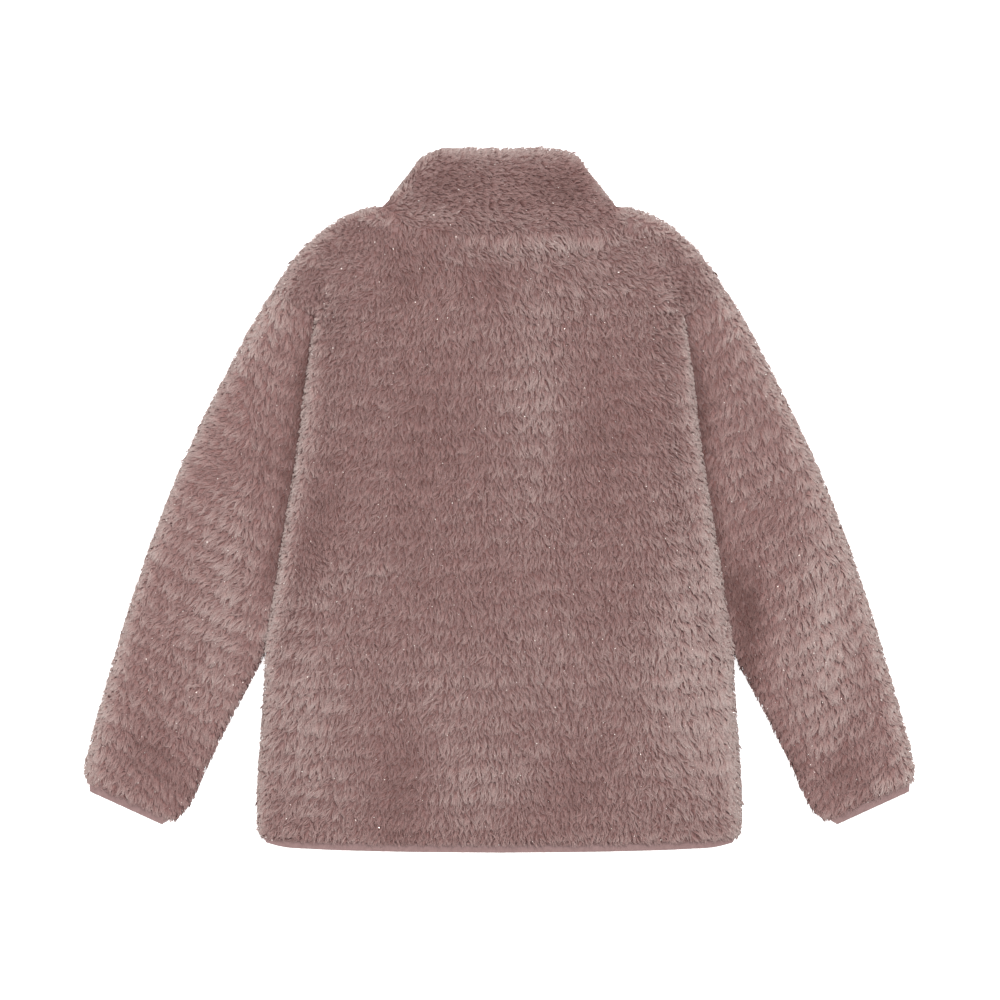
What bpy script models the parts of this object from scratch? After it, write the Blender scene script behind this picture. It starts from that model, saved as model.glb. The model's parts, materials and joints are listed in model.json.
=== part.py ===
"""Sherpa jacket laid flat on its front, with the back uppermost, as a maker cuts and sews it.

A child's pile-fleece jacket: back, two fronts, two drop-shoulder sleeves, stand collar, stretch
binding round hem and cuffs, and a zip down the front, which lies underneath. Each cloth piece is a
wall between two faces: the outer face is where the tips of the pile reach, and the inner face is
the plain side of the cloth. Sewn pieces stand one seam's clearance apart.

Frame: +X to the right as the back is seen, +Y towards the collar, +Z up. The origin is the middle
of the garment's box, on the surface that it lies on. Tables are in millimetres: `up` is measured
from the lowest point of the hem towards the collar, and `half` sideways from the centre back.
"""

import math
from collections import namedtuple

import bmesh
import bpy
import numpy as np
from mathutils import Matrix, Vector

MM = 0.001

# ---------------------------------------------------------------- driving sizes (mm)
LENGTH = 599.0  # hem binding to the top of the collar
SEAM = 0.35  # clearance between two sewn pieces
ARMHOLE_TOP = 457.7  # where the armhole seam goes in under the side fold
UNDERARM = 310.7  # the lower end of the armhole, hidden under the side fold
NECK_HALF = 99.3  # the collar's half width at its seam
COLLAR_TOP_HALF = 70.0
ZIP_GAP = 6.0  # half the channel between the two fronts

# Heights above the surface: the layers lie on each other.
FRONT_INNER = 9.1  # the fronts' plain side
BACK_INNER = 9.4  # the back's plain side, which lies on it
BODY_TOP = 20.0  # pile tips in the middle of the back
FOLD_RISE = 7.0  # how much higher the back stands along its side folds
SLEEVE_LIFT = 8.4  # how far the sleeve under a side fold lifts the back's plain side
SLEEVE_TOP = 16.5
SLEEVE_CROWN = 2.6
SLEEVE_MIDDLE = 8.6  # the height at which the sleeve turns over its own edges
COLLAR_TOP = 22.0
COLLAR_WALL = 10.0

Station = namedtuple("Station", "up half")
ArmholePoint = namedtuple("ArmholePoint", "along up half")
Fold = namedtuple("Fold", "name x up turn length width rise")
Layer = namedtuple("Layer", "low high")

# The body's side as the back shows it: hem corner, side seam, then the fold over the sleeve.
BODY_SIDE = (
    Station(13.0, 201.5),
    Station(17.0, 204.4),
    Station(22.5, 205.7),
    Station(39.5, 206.2),
    Station(71.8, 205.3),
    Station(105.8, 202.7),
    Station(139.8, 200.3),
    Station(167.9, 198.9),
    Station(205.3, 193.4),
    Station(257.1, 185.7),
    Station(310.7, 176.8),
    Station(360.0, 169.4),
    Station(399.9, 164.9),
    Station(434.8, 159.6),
    Station(ARMHOLE_TOP, 156.4),
)
SHOULDER_END = Station(479.0, 192.1)  # where the drop-shoulder seam meets the shoulder's edge

# The upper edge of the back: neck seam, neck point, shoulder.
BACK_TOP = (
    Station(527.4, 0.0),
    Station(530.4, 50.0),
    Station(538.5, 82.0),
    Station(549.0, 99.0),
    Station(546.2, 120.0),
    Station(536.3, 141.0),
    Station(523.8, 157.3),
    Station(509.6, 170.9),
    Station(493.5, 183.2),
    SHOULDER_END,
)
# The neck seam of the fronts, which drops lower. Past the neck point they share the shoulder.
FRONT_NECK = (
    Station(486.0, 0.0),
    Station(489.5, 30.0),
    Station(500.5, 60.0),
    Station(523.0, 85.0),
    Station(549.0, 99.0),
)
COLLAR_EDGE = (
    Station(598.4, 0.0),
    Station(598.8, 32.0),
    Station(597.0, 54.0),
    Station(592.0, 65.0),
    Station(586.5, COLLAR_TOP_HALF),
)
# The lower edge of the cloth, and of the binding that wraps it.
HEM_CLOTH = (
    Station(6.8, 0.0),
    Station(8.0, 103.0),
    Station(9.6, 160.0),
    Station(10.6, 181.0),
    Station(13.0, 201.5),
)
HEM_BINDING = (
    Station(0.0, 0.0),
    Station(1.2, 103.0),
    Station(3.2, 160.0),
    Station(5.0, 184.0),
    Station(8.6, 198.5),
)

# The armhole seam on the sleeve, from the shoulder's edge down to the underarm.
ARMHOLE = (
    ArmholePoint(0.00, 479.0, 192.1),
    ArmholePoint(0.22, ARMHOLE_TOP, 156.4),
    ArmholePoint(0.32, 439.0, 150.2),
    ArmholePoint(0.45, 415.0, 149.5),
    ArmholePoint(0.62, 382.0, 153.0),
    ArmholePoint(0.80, 347.0, 158.0),
    ArmholePoint(1.00, UNDERARM, 163.2),
)
SLEEVE_OUTER = (
    Station(479.0, 192.1),
    Station(461.5, 203.3),
    Station(428.8, 221.5),
    Station(394.8, 239.0),
    Station(360.8, 255.7),
    Station(326.8, 271.5),
    Station(292.8, 285.3),
    Station(258.8, 298.2),
    Station(224.8, 309.8),
    Station(190.8, 320.5),
    Station(156.8, 330.6),
    Station(122.8, 340.3),
    Station(88.8, 349.4),
    Station(71.8, 353.0),
    Station(65.0, 352.6),
    Station(60.8, 349.8),
)
SLEEVE_INNER = (
    Station(UNDERARM, 163.2),
    Station(281.0, 168.3),
    Station(243.0, 176.5),
    Station(205.0, 187.2),
    Station(168.5, 199.6),
    Station(139.8, 214.0),
    Station(105.8, 232.0),
    Station(71.8, 249.0),
    Station(49.4, 258.5),
    Station(37.0, 266.5),
    Station(30.0, 273.5),
    Station(28.0, 278.0),
)

# Soft folds of the upper layer: a long low ridge, or a trough where `rise` is negative. `x` is
# signed, `turn` is the angle in degrees from +X to the fold's line.
FOLDS = (
    Fold("collar_shelf", 25, 515, 2, 78, 10, 2.6),
    Fold("collar_shelf_left", -85, 517, 8, 34, 12, -1.8),
    Fold("upper_left_dent", -75, 487, 70, 34, 20, -1.6),
    Fold("upper_mid_dent", -8, 490, 80, 26, 16, -1.5),
    Fold("neck_puff_right", 60, 480, 20, 40, 22, 1.3),
    Fold("spine_ridge", 34, 400, 86, 95, 26, 1.6),
    Fold("right_blade_dent", 100, 365, 80, 62, 34, -2.2),
    Fold("left_waist_dent", -150, 290, 72, 62, 17, -2.6),
    Fold("left_mid_trough", -68, 330, 84, 85, 22, -1.6),
    Fold("left_waist_ridge", -120, 238, 14, 62, 16, 1.9),
    Fold("waist_trough", 5, 232, 3, 110, 24, -1.1),
    Fold("right_flank_ridge", 150, 190, 84, 85, 30, 1.8),
    Fold("left_flank_ridge", -165, 120, 86, 85, 26, 1.6),
    Fold("hem_trough_left", -85, 55, 80, 48, 24, -1.8),
    Fold("hem_puff", -8, 60, 12, 60, 26, 1.5),
    Fold("hem_trough_right", 62, 62, 40, 45, 24, -1.6),
    Fold("left_sleeve_ridge", -223, 240, 82, 78, 17, 2.0),
    Fold("left_sleeve_dent", -190, 345, 76, 55, 17, -2.0),
    Fold("left_elbow_dent", -252, 318, 30, 38, 12, -1.5),
    Fold("left_cuff_dent", -282, 75, 118, 36, 15, -2.4),
    Fold("right_sleeve_ridge", 272, 235, 98, 88, 19, 2.2),
    Fold("right_sleeve_dent", 212, 205, 102, 50, 16, -2.6),
    Fold("right_crease", 222, 292, 28, 34, 9, -1.8),
    Fold("right_cuff_dent", 290, 72, 60, 40, 14, -2.4),
)

# Bindings, zip and pull.
BINDING_TOP = Layer(9.9, 12.9)
BINDING_UNDER = Layer(5.0, 8.0)
CUFF_WIDTH = 7.0  # how far the cuff's binding shows below the pile
TAPE = Layer(8.3, 9.1)
TAPE_HALF = (2.8, 15.0)
CHAIN = Layer(7.0, 9.1)
CHAIN_HALF = 2.5
BOX_HALF = 3.6
BOX = Layer(6.4, 9.1)
SLIDER = Layer(5.4, 8.0)
SLIDER_HALF = 4.2
SLIDER_UP = (583.3, 594.3)
PULL_THICK = 1.2
PULL_LENGTH = 22.0
PULL_CLEARANCE = 0.2  # round the pull's turning bar
BAIL_THICK = 0.9

PILE_ROSE = (0.265, 0.158, 0.150)
BINDING_ROSE = (0.335, 0.192, 0.186)
TAPE_ROSE = (0.290, 0.165, 0.158)
CHAIN_ROSE = (0.300, 0.180, 0.172)
METAL_ROSE = (0.420, 0.290, 0.265)


# ---------------------------------------------------------------- lines and heights
def smooth_line(xs, ys, at):
    """A smooth line through the points. Each stretch is a cubic whose end slopes come from the neighbours."""
    xs, ys, at = (np.asarray(values, float) for values in (xs, ys, at))
    slope = np.gradient(ys, xs)
    i = np.clip(np.searchsorted(xs, at) - 1, 0, len(xs) - 2)
    step = xs[i + 1] - xs[i]
    s = (at - xs[i]) / step
    ends = ys[i] * (1 + 2 * s) * (1 - s) ** 2 + ys[i + 1] * s * s * (3 - 2 * s)
    return ends + step * s * (1 - s) * (slope[i] * (1 - s) - slope[i + 1] * s)


def up_at(stations, half):
    """The height of an edge table at a distance from the centre back."""
    return smooth_line([s.half for s in stations], [s.up for s in stations], np.abs(half))


def half_at(stations, up):
    """The half width of a side table at a height."""
    rising = sorted(stations, key=lambda s: s.up)
    limited = np.clip(up, rising[0].up, rising[-1].up)
    return smooth_line([s.up for s in rising], [s.half for s in rising], limited)


def along_edge(stations, share):
    """Points (half, up) at shares of an edge's own length."""
    corners = np.array([(s.half, s.up) for s in stations])
    lengths = np.r_[0, np.cumsum(np.linalg.norm(np.diff(corners, axis=0), axis=1))]
    at = np.asarray(share) * lengths[-1]
    return np.stack([smooth_line(lengths, corners[:, k], at) for k in (0, 1)], axis=-1)


def ease(t):
    """0 to 1 with level ends."""
    t = np.clip(t, 0, 1)
    return t * t * (3 - 2 * t)


def rounding(distance, reach):
    """A quarter of an ellipse: 0 at an edge, 1 from `reach` inwards."""
    return np.sqrt(1 - (1 - np.clip(distance / reach, 0, 1)) ** 2)


def crowded(count):
    """Numbers from -1 to 1 that crowd towards both ends, where the cloth turns over its edge."""
    t = np.linspace(-1, 1, count)
    return (3 * t - t**3) / 2


def folds(x, up):
    """The summed height of the soft folds: each is a ridge that fades along and across its line."""
    total = np.zeros(np.broadcast(x, up).shape)
    for fold in FOLDS:
        turn = math.radians(fold.turn)
        along = (x - fold.x) * math.cos(turn) + (up - fold.up) * math.sin(turn)
        across = (up - fold.up) * math.cos(turn) - (x - fold.x) * math.sin(turn)
        total += fold.rise * np.exp(-((along / fold.length) ** 2) - (across / fold.width) ** 2)
    return total


# ---------------------------------------------------------------- plan of a sleeve
SLEEVE_ACROSS = (0, 0.025, 0.08, 0.15, 0.22, 0.3, 0.4, 0.5, 0.6, 0.7, 0.8, 0.88, 0.94, 0.98, 1)
SLEEVE_DOWN = (0, 0.012, 0.03, 0.055, *np.linspace(0.09, 0.95, 16), 0.975, 0.99, 1)
SHOWS = 4  # columns from the shoulder's edge to where the armhole seam goes under the side fold


def armhole_points():
    """The armhole seam on the sleeve at each column: straight where it shows, curved below."""
    share = np.array(SLEEVE_ACROSS)
    knots = np.array([(p.along, p.half, p.up) for p in ARMHOLE])
    below = np.maximum(share, knots[1, 0])
    line = np.stack([smooth_line(knots[1:, 0], knots[1:, k], below) for k in (1, 2)], axis=-1)
    shown = (share / knots[1, 0])[:, None]
    line = np.where(shown < 1, knots[0, 1:] + (knots[1, 1:] - knots[0, 1:]) * shown, line)
    along = (knots[0, 1:] - knots[1, 1:]) / np.linalg.norm(knots[0, 1:] - knots[1, 1:])
    away = np.array([along[1], -along[0]])
    return line + SEAM * away * np.clip(2 - shown, 0, 1)


def sleeve_plan():
    """Plan of a sleeve: (half, up) at each section and column, from the outer to the inner edge.

    A section is a straight line between the two edges, plus a share of the armhole's own curve,
    which fades over the first third of the sleeve.
    """
    down = np.array(SLEEVE_DOWN)[:, None]
    share = np.array(SLEEVE_ACROSS)[None, :]
    outer = along_edge(SLEEVE_OUTER, down)
    inner = along_edge(SLEEVE_INNER, down**1.5)
    chord = outer + (inner - outer) * share[..., None]
    return chord + (armhole_points() - chord[:1]) * (1 - ease(down / 0.38))[..., None]


PLAN = sleeve_plan()
HIDDEN_EDGE = np.concatenate([PLAN[0, SHOWS:], PLAN[1:, -1]])  # from the fold down to the cuff


def sleeve_line(up):
    """Half width at which the sleeve's hidden edge lies: the armhole seam, then the inner edge."""
    return np.interp(up, HIDDEN_EDGE[::-1, 1], HIDDEN_EDGE[::-1, 0])


# ---------------------------------------------------------------- heights of the layers

def back_inner(x, up):
    """The back's plain side: it lies on the fronts, and rises over the sleeve under each side fold."""
    over_sleeve = np.abs(x) - sleeve_line(up)
    below_seam = 1 - ease((up - ARMHOLE_TOP) / 12)
    return BACK_INNER + SLEEVE_LIFT * ease((over_sleeve + 11) / 15) * below_seam


def body_top(x, up):
    """Pile tips of the back before it turns over its edges, with the ridges of the side folds."""
    inward = half_at(BODY_SIDE, up) - np.abs(x)
    along = ease((up - 150) / 70) * (1 - ease((up - 455) / 45))
    return BODY_TOP + FOLD_RISE * np.exp(-(((inward - 9) / 17) ** 2)) * along + folds(x, up)


def turned_down(top, floor, drops):
    """`top` less the drops towards the edges, which join as a rounded corner, and never under `floor`."""
    return np.maximum(top - np.sqrt(sum(d**2 for d in drops)), floor)


def zip_relief(x):
    """How much thinner a front is beside the zip, where the tape lies on its plain side."""
    return 1.1 * (1 - ease((np.abs(x) - 22) / 14))


# ---------------------------------------------------------------- solids
def material(name, colour, roughness, metallic=0.0):
    made = bpy.data.materials.new(name)
    made.use_nodes = True
    shader = made.node_tree.nodes["Principled BSDF"]
    shader.inputs["Base Color"].default_value = (*colour, 1)
    shader.inputs["Roughness"].default_value = roughness
    shader.inputs["Metallic"].default_value = metallic
    made.diffuse_color = (*colour, 1)
    return made


def placed(points):
    """Table millimetres (x, up, height) as metres in the frame."""
    return (points - (0, LENGTH / 2, 0)) * MM


def add_object(name, data, finish, collection):
    made = bpy.data.objects.new(name, data)
    data.materials.append(finish)
    collection.objects.link(made)
    return made


def wall(name, outer, inner, finish, collection, closed=False):
    """One closed solid between two faces, each a grid [rows, columns, (x, up, height)].

    The grids match point for point, and rims join them all round. With `closed` the columns run
    round a ring, as in a sleeve, and only the first and the last row have a rim.
    """
    rows, columns = outer.shape[:2]
    near = np.arange(rows * columns).reshape(rows, columns)
    if closed:
        near = np.concatenate([near, near[:, :1]], axis=1)
    far = near + rows * columns

    def strip(a, b):
        return np.stack([a[:-1], a[1:], b[1:], b[:-1]], axis=1)

    strips = [strip(near[r], near[r + 1]) for r in range(rows - 1)]
    strips += [strip(far[r + 1], far[r]) for r in range(rows - 1)]
    strips += [strip(far[0], near[0]), strip(near[-1], far[-1])]
    if not closed:
        strips += [strip(near[:, 0], far[:, 0]), strip(far[:, -1], near[:, -1])]
    points = np.concatenate([outer.reshape(-1, 3), inner.reshape(-1, 3)])
    mesh = bpy.data.meshes.new(name)
    mesh.from_pydata(placed(points).tolist(), [], np.concatenate(strips).tolist())
    shape = bmesh.new()
    shape.from_mesh(mesh)
    bmesh.ops.recalc_face_normals(shape, faces=shape.faces)
    shape.to_mesh(mesh)
    shape.free()
    mesh.shade_smooth()
    mesh.set_sharp_from_angle(angle=math.radians(50))
    return add_object(name, mesh, finish, collection)


def stacked(x, up, height):
    return np.stack(np.broadcast_arrays(x, up, height), axis=-1)


# ---------------------------------------------------------------- back and fronts
EDGE_STEPS = (0, 1.2, 4, 8, 14)  # rows close to an edge
SEAM_SHARES = (0.3, 0.55, 0.75, 0.88, 0.96, 1.0)  # rows from the armhole's top to the shoulder
FOLLOWS_TOP = 0.72  # how much of the shoulder's line the row at the armhole's top still follows
BACK_ACROSS = crowded(33)
FRONT_ACROSS = (crowded(13) + 1) / 2
FRONT_TOP = FRONT_NECK[:-1] + BACK_TOP[3:]


def body_rows(middle_rows):
    """The rows of a body panel: side point, share of the shoulder's line and of the hem's line."""
    first, last = BODY_SIDE[0].up, BODY_SIDE[-1].up
    side_up = np.r_[first + np.array(EDGE_STEPS), middle_rows, last]
    side_half = half_at(BODY_SIDE, side_up)
    top_share = FOLLOWS_TOP * ease((side_up - 320) / (last - 320)) ** 1.3
    shares = np.array(SEAM_SHARES)
    seam_up = last + shares * (SHOULDER_END.up - last)
    seam_half = side_half[-1] + shares * (SHOULDER_END.half - side_half[-1])
    side_up, side_half = np.r_[side_up, seam_up], np.r_[side_half, seam_half]
    top_share = np.r_[top_share, FOLLOWS_TOP + (1 - FOLLOWS_TOP) * shares]
    hem_share = 1 - ease((side_up - first) / 70)
    return side_up[:, None], side_half[:, None], top_share[:, None], hem_share[:, None]


def row_heights(rows, across, top_stations):
    """`up` of every point: rows are level in the middle, and follow the hem's and the shoulder's line."""
    side_up, _, top_share, hem_share = rows
    top_line = up_at(top_stations, across * SHOULDER_END.half) - SHOULDER_END.up
    hem_line = up_at(HEM_CLOTH, across * BODY_SIDE[0].half) - BODY_SIDE[0].up
    return side_up + top_share * top_line + hem_share * hem_line


def edge_distances(x, up, side_half, top_stations):
    """How far each point is from the side, from the upper edge and from the hem."""
    top_up = up_at(top_stations, np.minimum(np.abs(x), SHOULDER_END.half))
    slope = up_at(top_stations, np.minimum(np.abs(x) + 1, SHOULDER_END.half)) - top_up
    hem_up = up_at(HEM_CLOTH, np.minimum(np.abs(x), BODY_SIDE[0].half))
    return side_half - np.abs(x), (top_up - up) / np.hypot(1, slope), up - hem_up


def make_back(finish, collection):
    rows = body_rows(np.linspace(BODY_SIDE[0].up + 24, ARMHOLE_TOP - 19, 23))
    across = BACK_ACROSS[None, :]
    side_up, side_half = rows[0], rows[1]
    x = across * side_half
    up = row_heights(rows, across, BACK_TOP)
    to_side, to_top, to_hem = edge_distances(x, up, side_half, BACK_TOP)
    inner = back_inner(x, up)
    top = body_top(x, up)
    on_seam = ease((side_up - ARMHOLE_TOP + 6) / 12)
    side_reach = 13 - 8 * on_seam
    side_edge = np.maximum(back_inner(side_half, side_up) + 0.8, 13.2 * on_seam)
    on_neck = 1 - ease((np.abs(x) - 92) / 16)
    top_reach = 13 - 7 * on_neck
    top_edge = BACK_INNER + 0.8 + 5.2 * on_neck
    drops = (
        (top - side_edge) * (1 - rounding(to_side, side_reach)),
        (top - top_edge) * (1 - rounding(to_top, top_reach)),
        (top - 13.6) * (1 - rounding(to_hem, 8)),
    )
    outer = turned_down(top, inner + 0.8, drops)
    wall("back", stacked(x, up, outer), stacked(x, up, inner), finish, collection)


def make_front(name, side, finish, collection):
    """One front, pile down: its underside is flat on the surface and turns up at its edges."""
    beside_sleeve = HIDDEN_EDGE[::-1, 1][HIDDEN_EDGE[::-1, 1] > 150][:-1]
    rows = body_rows(np.r_[np.linspace(BODY_SIDE[0].up + 24, 140, 5), beside_sleeve])
    side_up, side_half, _, _ = rows
    clear = sleeve_line(side_up) - SEAM
    tucked = (side_up < ARMHOLE_TOP) & (side_up > 120)
    edge = np.where(tucked, np.minimum(side_half, clear), side_half)
    zip_share = ZIP_GAP / edge
    across = zip_share + FRONT_ACROSS * (1 - zip_share)
    x = across * edge
    up = row_heights(rows, across, FRONT_TOP)
    to_side, to_top, to_hem = edge_distances(x, up, edge, FRONT_TOP)
    on_seam = ease((side_up - 150) / 40)
    on_neck = 1 - ease((x - 92) / 16)
    turned_up = (
        (8.3 - 3.3 * on_seam) * (1 - rounding(to_side, 8 - 3 * on_seam)),
        (8.3 - 3.3 * on_neck) * (1 - rounding(to_top, 8 - 3 * on_neck)),
        4.6 * (1 - rounding(to_hem, 6)),
        4.6 * (1 - rounding(x - ZIP_GAP, 4)),
    )
    inner = FRONT_INNER - zip_relief(x)
    outer = np.minimum(np.sqrt(sum(d**2 for d in turned_up)), inner - 0.8)
    wall(name, stacked(side * x, up, outer), stacked(side * x, up, inner), finish, collection)


# ---------------------------------------------------------------- flattened tubes
def ring(top, under):
    """One loop over the upper layer and back under it. The two layers share their end points."""
    return np.concatenate([top, under[:, -2:0:-1]], axis=1)


def split_ring(top, under_left, under_right):
    """The same loop, cut where the zip runs: it starts and ends on the two under layers."""
    return np.concatenate([under_left[:, :-1], top, under_right[:, -2::-1]], axis=1)


def make_sleeve(name, side, finish, collection):
    plan, share = PLAN, np.array(SLEEVE_ACROSS)[None, :]
    half, up = plan[..., 0], plan[..., 1]
    width = np.linalg.norm(plan[:, -1] - plan[:, 0], axis=-1)[:, None]
    to_outer, to_inner = share * width, (1 - share) * width
    from_armhole = np.linalg.norm(plan - plan[:1], axis=-1)
    to_cuff = np.linalg.norm(plan - plan[-1:], axis=-1)
    past_fold = ease((half - half_at(BODY_SIDE, up) - 2) / 26)
    crown = SLEEVE_CROWN * np.sin(np.pi * share) ** 2
    top = SLEEVE_TOP + past_fold * (crown + folds(side * half, up))
    shows = 1 - ease((share - 0.17) / 0.1)  # the part of the armhole seam that shows
    reach = 12 - 4 * ease((share - 0.5) / 0.3)
    to_edge = np.minimum(to_outer, to_inner)
    drops = (
        (top - SLEEVE_MIDDLE) * (1 - rounding(to_edge, reach)),
        (top - 10.6 - 2.2 * shows) * (1 - rounding(from_armhole, 13 - 8 * shows)),
        (top - 13.4) * (1 - rounding(to_cuff, 7)),
    )
    over = turned_down(top, SLEEVE_MIDDLE, drops)
    turned_up = (
        SLEEVE_MIDDLE * (1 - rounding(to_edge, 8)),
        5.0 * (1 - rounding(from_armhole, 5)),
        4.2 * (1 - rounding(to_cuff, 6)),
    )
    under = np.minimum(np.sqrt(sum(d**2 for d in turned_up)), SLEEVE_MIDDLE)

    # The hollow is the same plan drawn in by the wall, as two faces that all but touch.
    wall_share = np.minimum(9.0 / width, 0.3)
    hollow_share = wall_share + share * (1 - 2 * wall_share)
    hollow = np.stack(
        [[np.interp(h, share[0], line[:, k]) for h, line in zip(hollow_share, plan)] for k in (0, 1)],
        axis=-1,
    )
    mouth = 0.35 + 1.0 * np.sin(np.pi * share) * (1 - ease(to_cuff / 60))
    x, hollow_x = side * half, side * hollow[..., 0]
    outer = ring(stacked(x, up, over), stacked(x, up, under))
    inner = ring(
        stacked(hollow_x, hollow[..., 1], SLEEVE_MIDDLE + mouth),
        stacked(hollow_x, hollow[..., 1], SLEEVE_MIDDLE - mouth),
    )
    # The hollow's ends are one point on the upper and the under face, a little off the middle.
    wall(name, outer, inner, finish, collection, closed=True)


def make_cuff_binding(name, side, finish, collection):
    """Stretch binding round a cuff: a flattened ring that shows below the pile."""
    inner_end = np.array([SLEEVE_INNER[-1].half, SLEEVE_INNER[-1].up])
    outer_end = np.array([SLEEVE_OUTER[-1].half, SLEEVE_OUTER[-1].up])
    width = np.linalg.norm(outer_end - inner_end)
    along = (outer_end - inner_end) / width
    out = np.array([along[1], -along[0]])  # past the cuff, away from the sleeve
    reach = SEAM + np.array([0, 0.18, 0.8, 1.0])[:, None] * CUFF_WIDTH
    share = (1 + crowded(11)[None, :]) / 2
    drawn_in = 3.0 + 3.0 * ease(reach / CUFF_WIDTH) ** 2
    place = drawn_in + share * (width - 0.7 * drawn_in - drawn_in)
    plan = inner_end + place[..., None] * along + reach[..., None] * out
    thin = 0.75 * np.clip((reach - 0.85 * CUFF_WIDTH) / CUFF_WIDTH, 0, 1) ** 0.5
    middle = (BINDING_TOP.low + BINDING_UNDER.high) / 2
    turn = rounding(np.minimum(place - drawn_in, place[:, -1:] - place), 4.0)
    over = middle + (BINDING_TOP.high - thin - middle) * turn
    under = middle + (BINDING_UNDER.low + thin - middle) * turn
    hollow = plan + (plan[:, :1] + plan[:, -1:] - 2 * plan) * 3.0 / width
    x, up = side * plan[..., 0], plan[..., 1]
    hollow_x, hollow_up = side * hollow[..., 0], hollow[..., 1]
    mouth = 0.3 + 0.6 * np.sin(np.pi * share) + 0 * reach
    outer = ring(stacked(x, up, over), stacked(x, up, under))
    inner = ring(
        stacked(hollow_x, hollow_up, middle + mouth),
        stacked(hollow_x, hollow_up, middle - mouth),
    )
    wall(name, outer, inner, finish, collection, closed=True)


def neck_seam(panel_x, stations, x):
    """The collar's seam: it follows the corner points that the panel below it has along its neck."""
    panel_up = up_at(stations, panel_x)
    slope = np.gradient(panel_up, panel_x)
    clear = SEAM * (1.5 + 2 * ease((np.abs(x) - 84) / 12))
    return np.interp(x, panel_x, panel_up) + clear * np.interp(x, panel_x, np.hypot(1, slope))


BACK_EDGE_X = BACK_ACROSS * SHOULDER_END.half
FRONT_EDGE_X = ZIP_GAP + FRONT_ACROSS * (SHOULDER_END.half - ZIP_GAP)


def collar_layer(across, rise, panel_x, stations):
    """Plan (x, up) of one layer of the collar: from its neck seam to its upper edge."""
    half = NECK_HALF + (COLLAR_TOP_HALF - NECK_HALF) * rise
    seam = neck_seam(panel_x, stations, across * NECK_HALF)
    edge = up_at(COLLAR_EDGE, across * COLLAR_TOP_HALF)
    return across * half, seam + (edge - seam) * rise


def make_collar(finish, collection):
    """Stand collar: one band from zip to zip, flattened, with its back layer above the front one."""
    rise = np.array([0, 0.05, 0.14, 0.3, 0.5, 0.7, 0.86, 0.95, 1.0])[:, None]
    across = crowded(19)[None, :]
    half = NECK_HALF + (COLLAR_TOP_HALF - NECK_HALF) * rise
    middle = (FRONT_INNER + BACK_INNER) / 2
    gap = 1.02 * ZIP_GAP / half
    beside = gap + (1 - gap) * (1 + crowded(11)[None, :]) / 2  # one front layer, zip to side

    def layers(shrink):
        """The plan of the back layer, the left and the right front layer, drawn in by `shrink`."""
        draw = 1 - shrink / half
        top = collar_layer(across * draw, rise, BACK_EDGE_X, BACK_TOP)
        at = gap + (beside - gap) * (draw - gap) / (1 - gap)
        under = collar_layer(at, rise, FRONT_EDGE_X, FRONT_TOP)
        return top, under

    (top_x, top_up), (under_x, under_up) = layers(0.0)
    to_side = half * (1 - np.abs(across))
    to_edge = (1 - rise) * 45
    from_seam = rise * 45
    top_height = COLLAR_TOP + folds(top_x, top_up)
    drops = (
        (top_height - middle) * (1 - rounding(to_side, 12)),
        (top_height - 15.5) * (1 - rounding(to_edge, 10)),
        (top_height - 15.5) * (1 - rounding(from_seam, 6)),
    )
    over = turned_down(top_height, middle, drops)
    turned_up = (
        middle * (1 - rounding(half * (1 - beside), 8)),
        4.0 * (1 - rounding(to_edge, 8)),
        5.0 * (1 - rounding(from_seam, 6)),
        4.6 * (1 - rounding(under_x - ZIP_GAP, 4)),
    )
    under = np.minimum(np.sqrt(sum(d**2 for d in turned_up)), middle - 1.2 * (beside < 0.999))
    outer = split_ring(
        stacked(top_x, top_up, over),
        stacked(-under_x, under_up, under),
        stacked(under_x, under_up, under),
    )
    (top_x, top_up), (under_x, under_up) = layers(COLLAR_WALL)
    mouth = 0.3 * (np.abs(across) < 0.999) + 1.6 * np.cos(0.5 * np.pi * across) * ease((rise - 0.4) / 0.6)
    relief = zip_relief(under_x)
    inner = split_ring(
        stacked(top_x, top_up, middle + mouth),
        stacked(-under_x, under_up, FRONT_INNER - relief),
        stacked(under_x, under_up, FRONT_INNER - relief),
    )
    wall("collar", outer, inner, finish, collection)


def make_hem_binding(finish, collection):
    """Stretch binding from zip to zip round the hem, as a flattened band open at the zip."""
    rise = np.array([0, 0.2, 0.85, 1.0])[:, None]
    across = crowded(21)[None, :]
    low_half, high_half = HEM_BINDING[-1].half, HEM_CLOTH[-1].half - 1.0
    half = low_half + (high_half - low_half) * rise
    middle = (BINDING_TOP.low + BINDING_UNDER.high) / 2
    gap = 1.05 * ZIP_GAP / half
    beside = gap + (1 - gap) * (1 + crowded(11)[None, :]) / 2
    thin = 0.8 * (1 - np.clip(rise / 0.2, 0, 1))

    def plan(at):
        low = up_at(HEM_BINDING, at * low_half)
        high = up_at(HEM_CLOTH, at * high_half) - SEAM
        return at * half, low + (high - low) * rise

    def faces(shrink, over_height, under_height):
        draw = 1 - shrink / half
        at = gap + (beside - gap) * (draw - gap) / (1 - gap)
        top_x, top_up = plan(across * draw)
        under_x, under_up = plan(at)
        return split_ring(
            stacked(top_x, top_up, over_height),
            stacked(-under_x, under_up, under_height),
            stacked(under_x, under_up, under_height),
        )

    turn_over = rounding(half * (1 - np.abs(across)), 4.0)
    turn_under = rounding(half * (1 - beside), 4.0)
    outer = faces(
        0.0,
        middle + (BINDING_TOP.high - thin - middle) * turn_over,
        middle + (BINDING_UNDER.low + thin - middle) * turn_under,
    )
    inner = faces(3.0, BINDING_TOP.low, BINDING_UNDER.high)
    wall("hem_binding", outer, inner, finish, collection)


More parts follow.
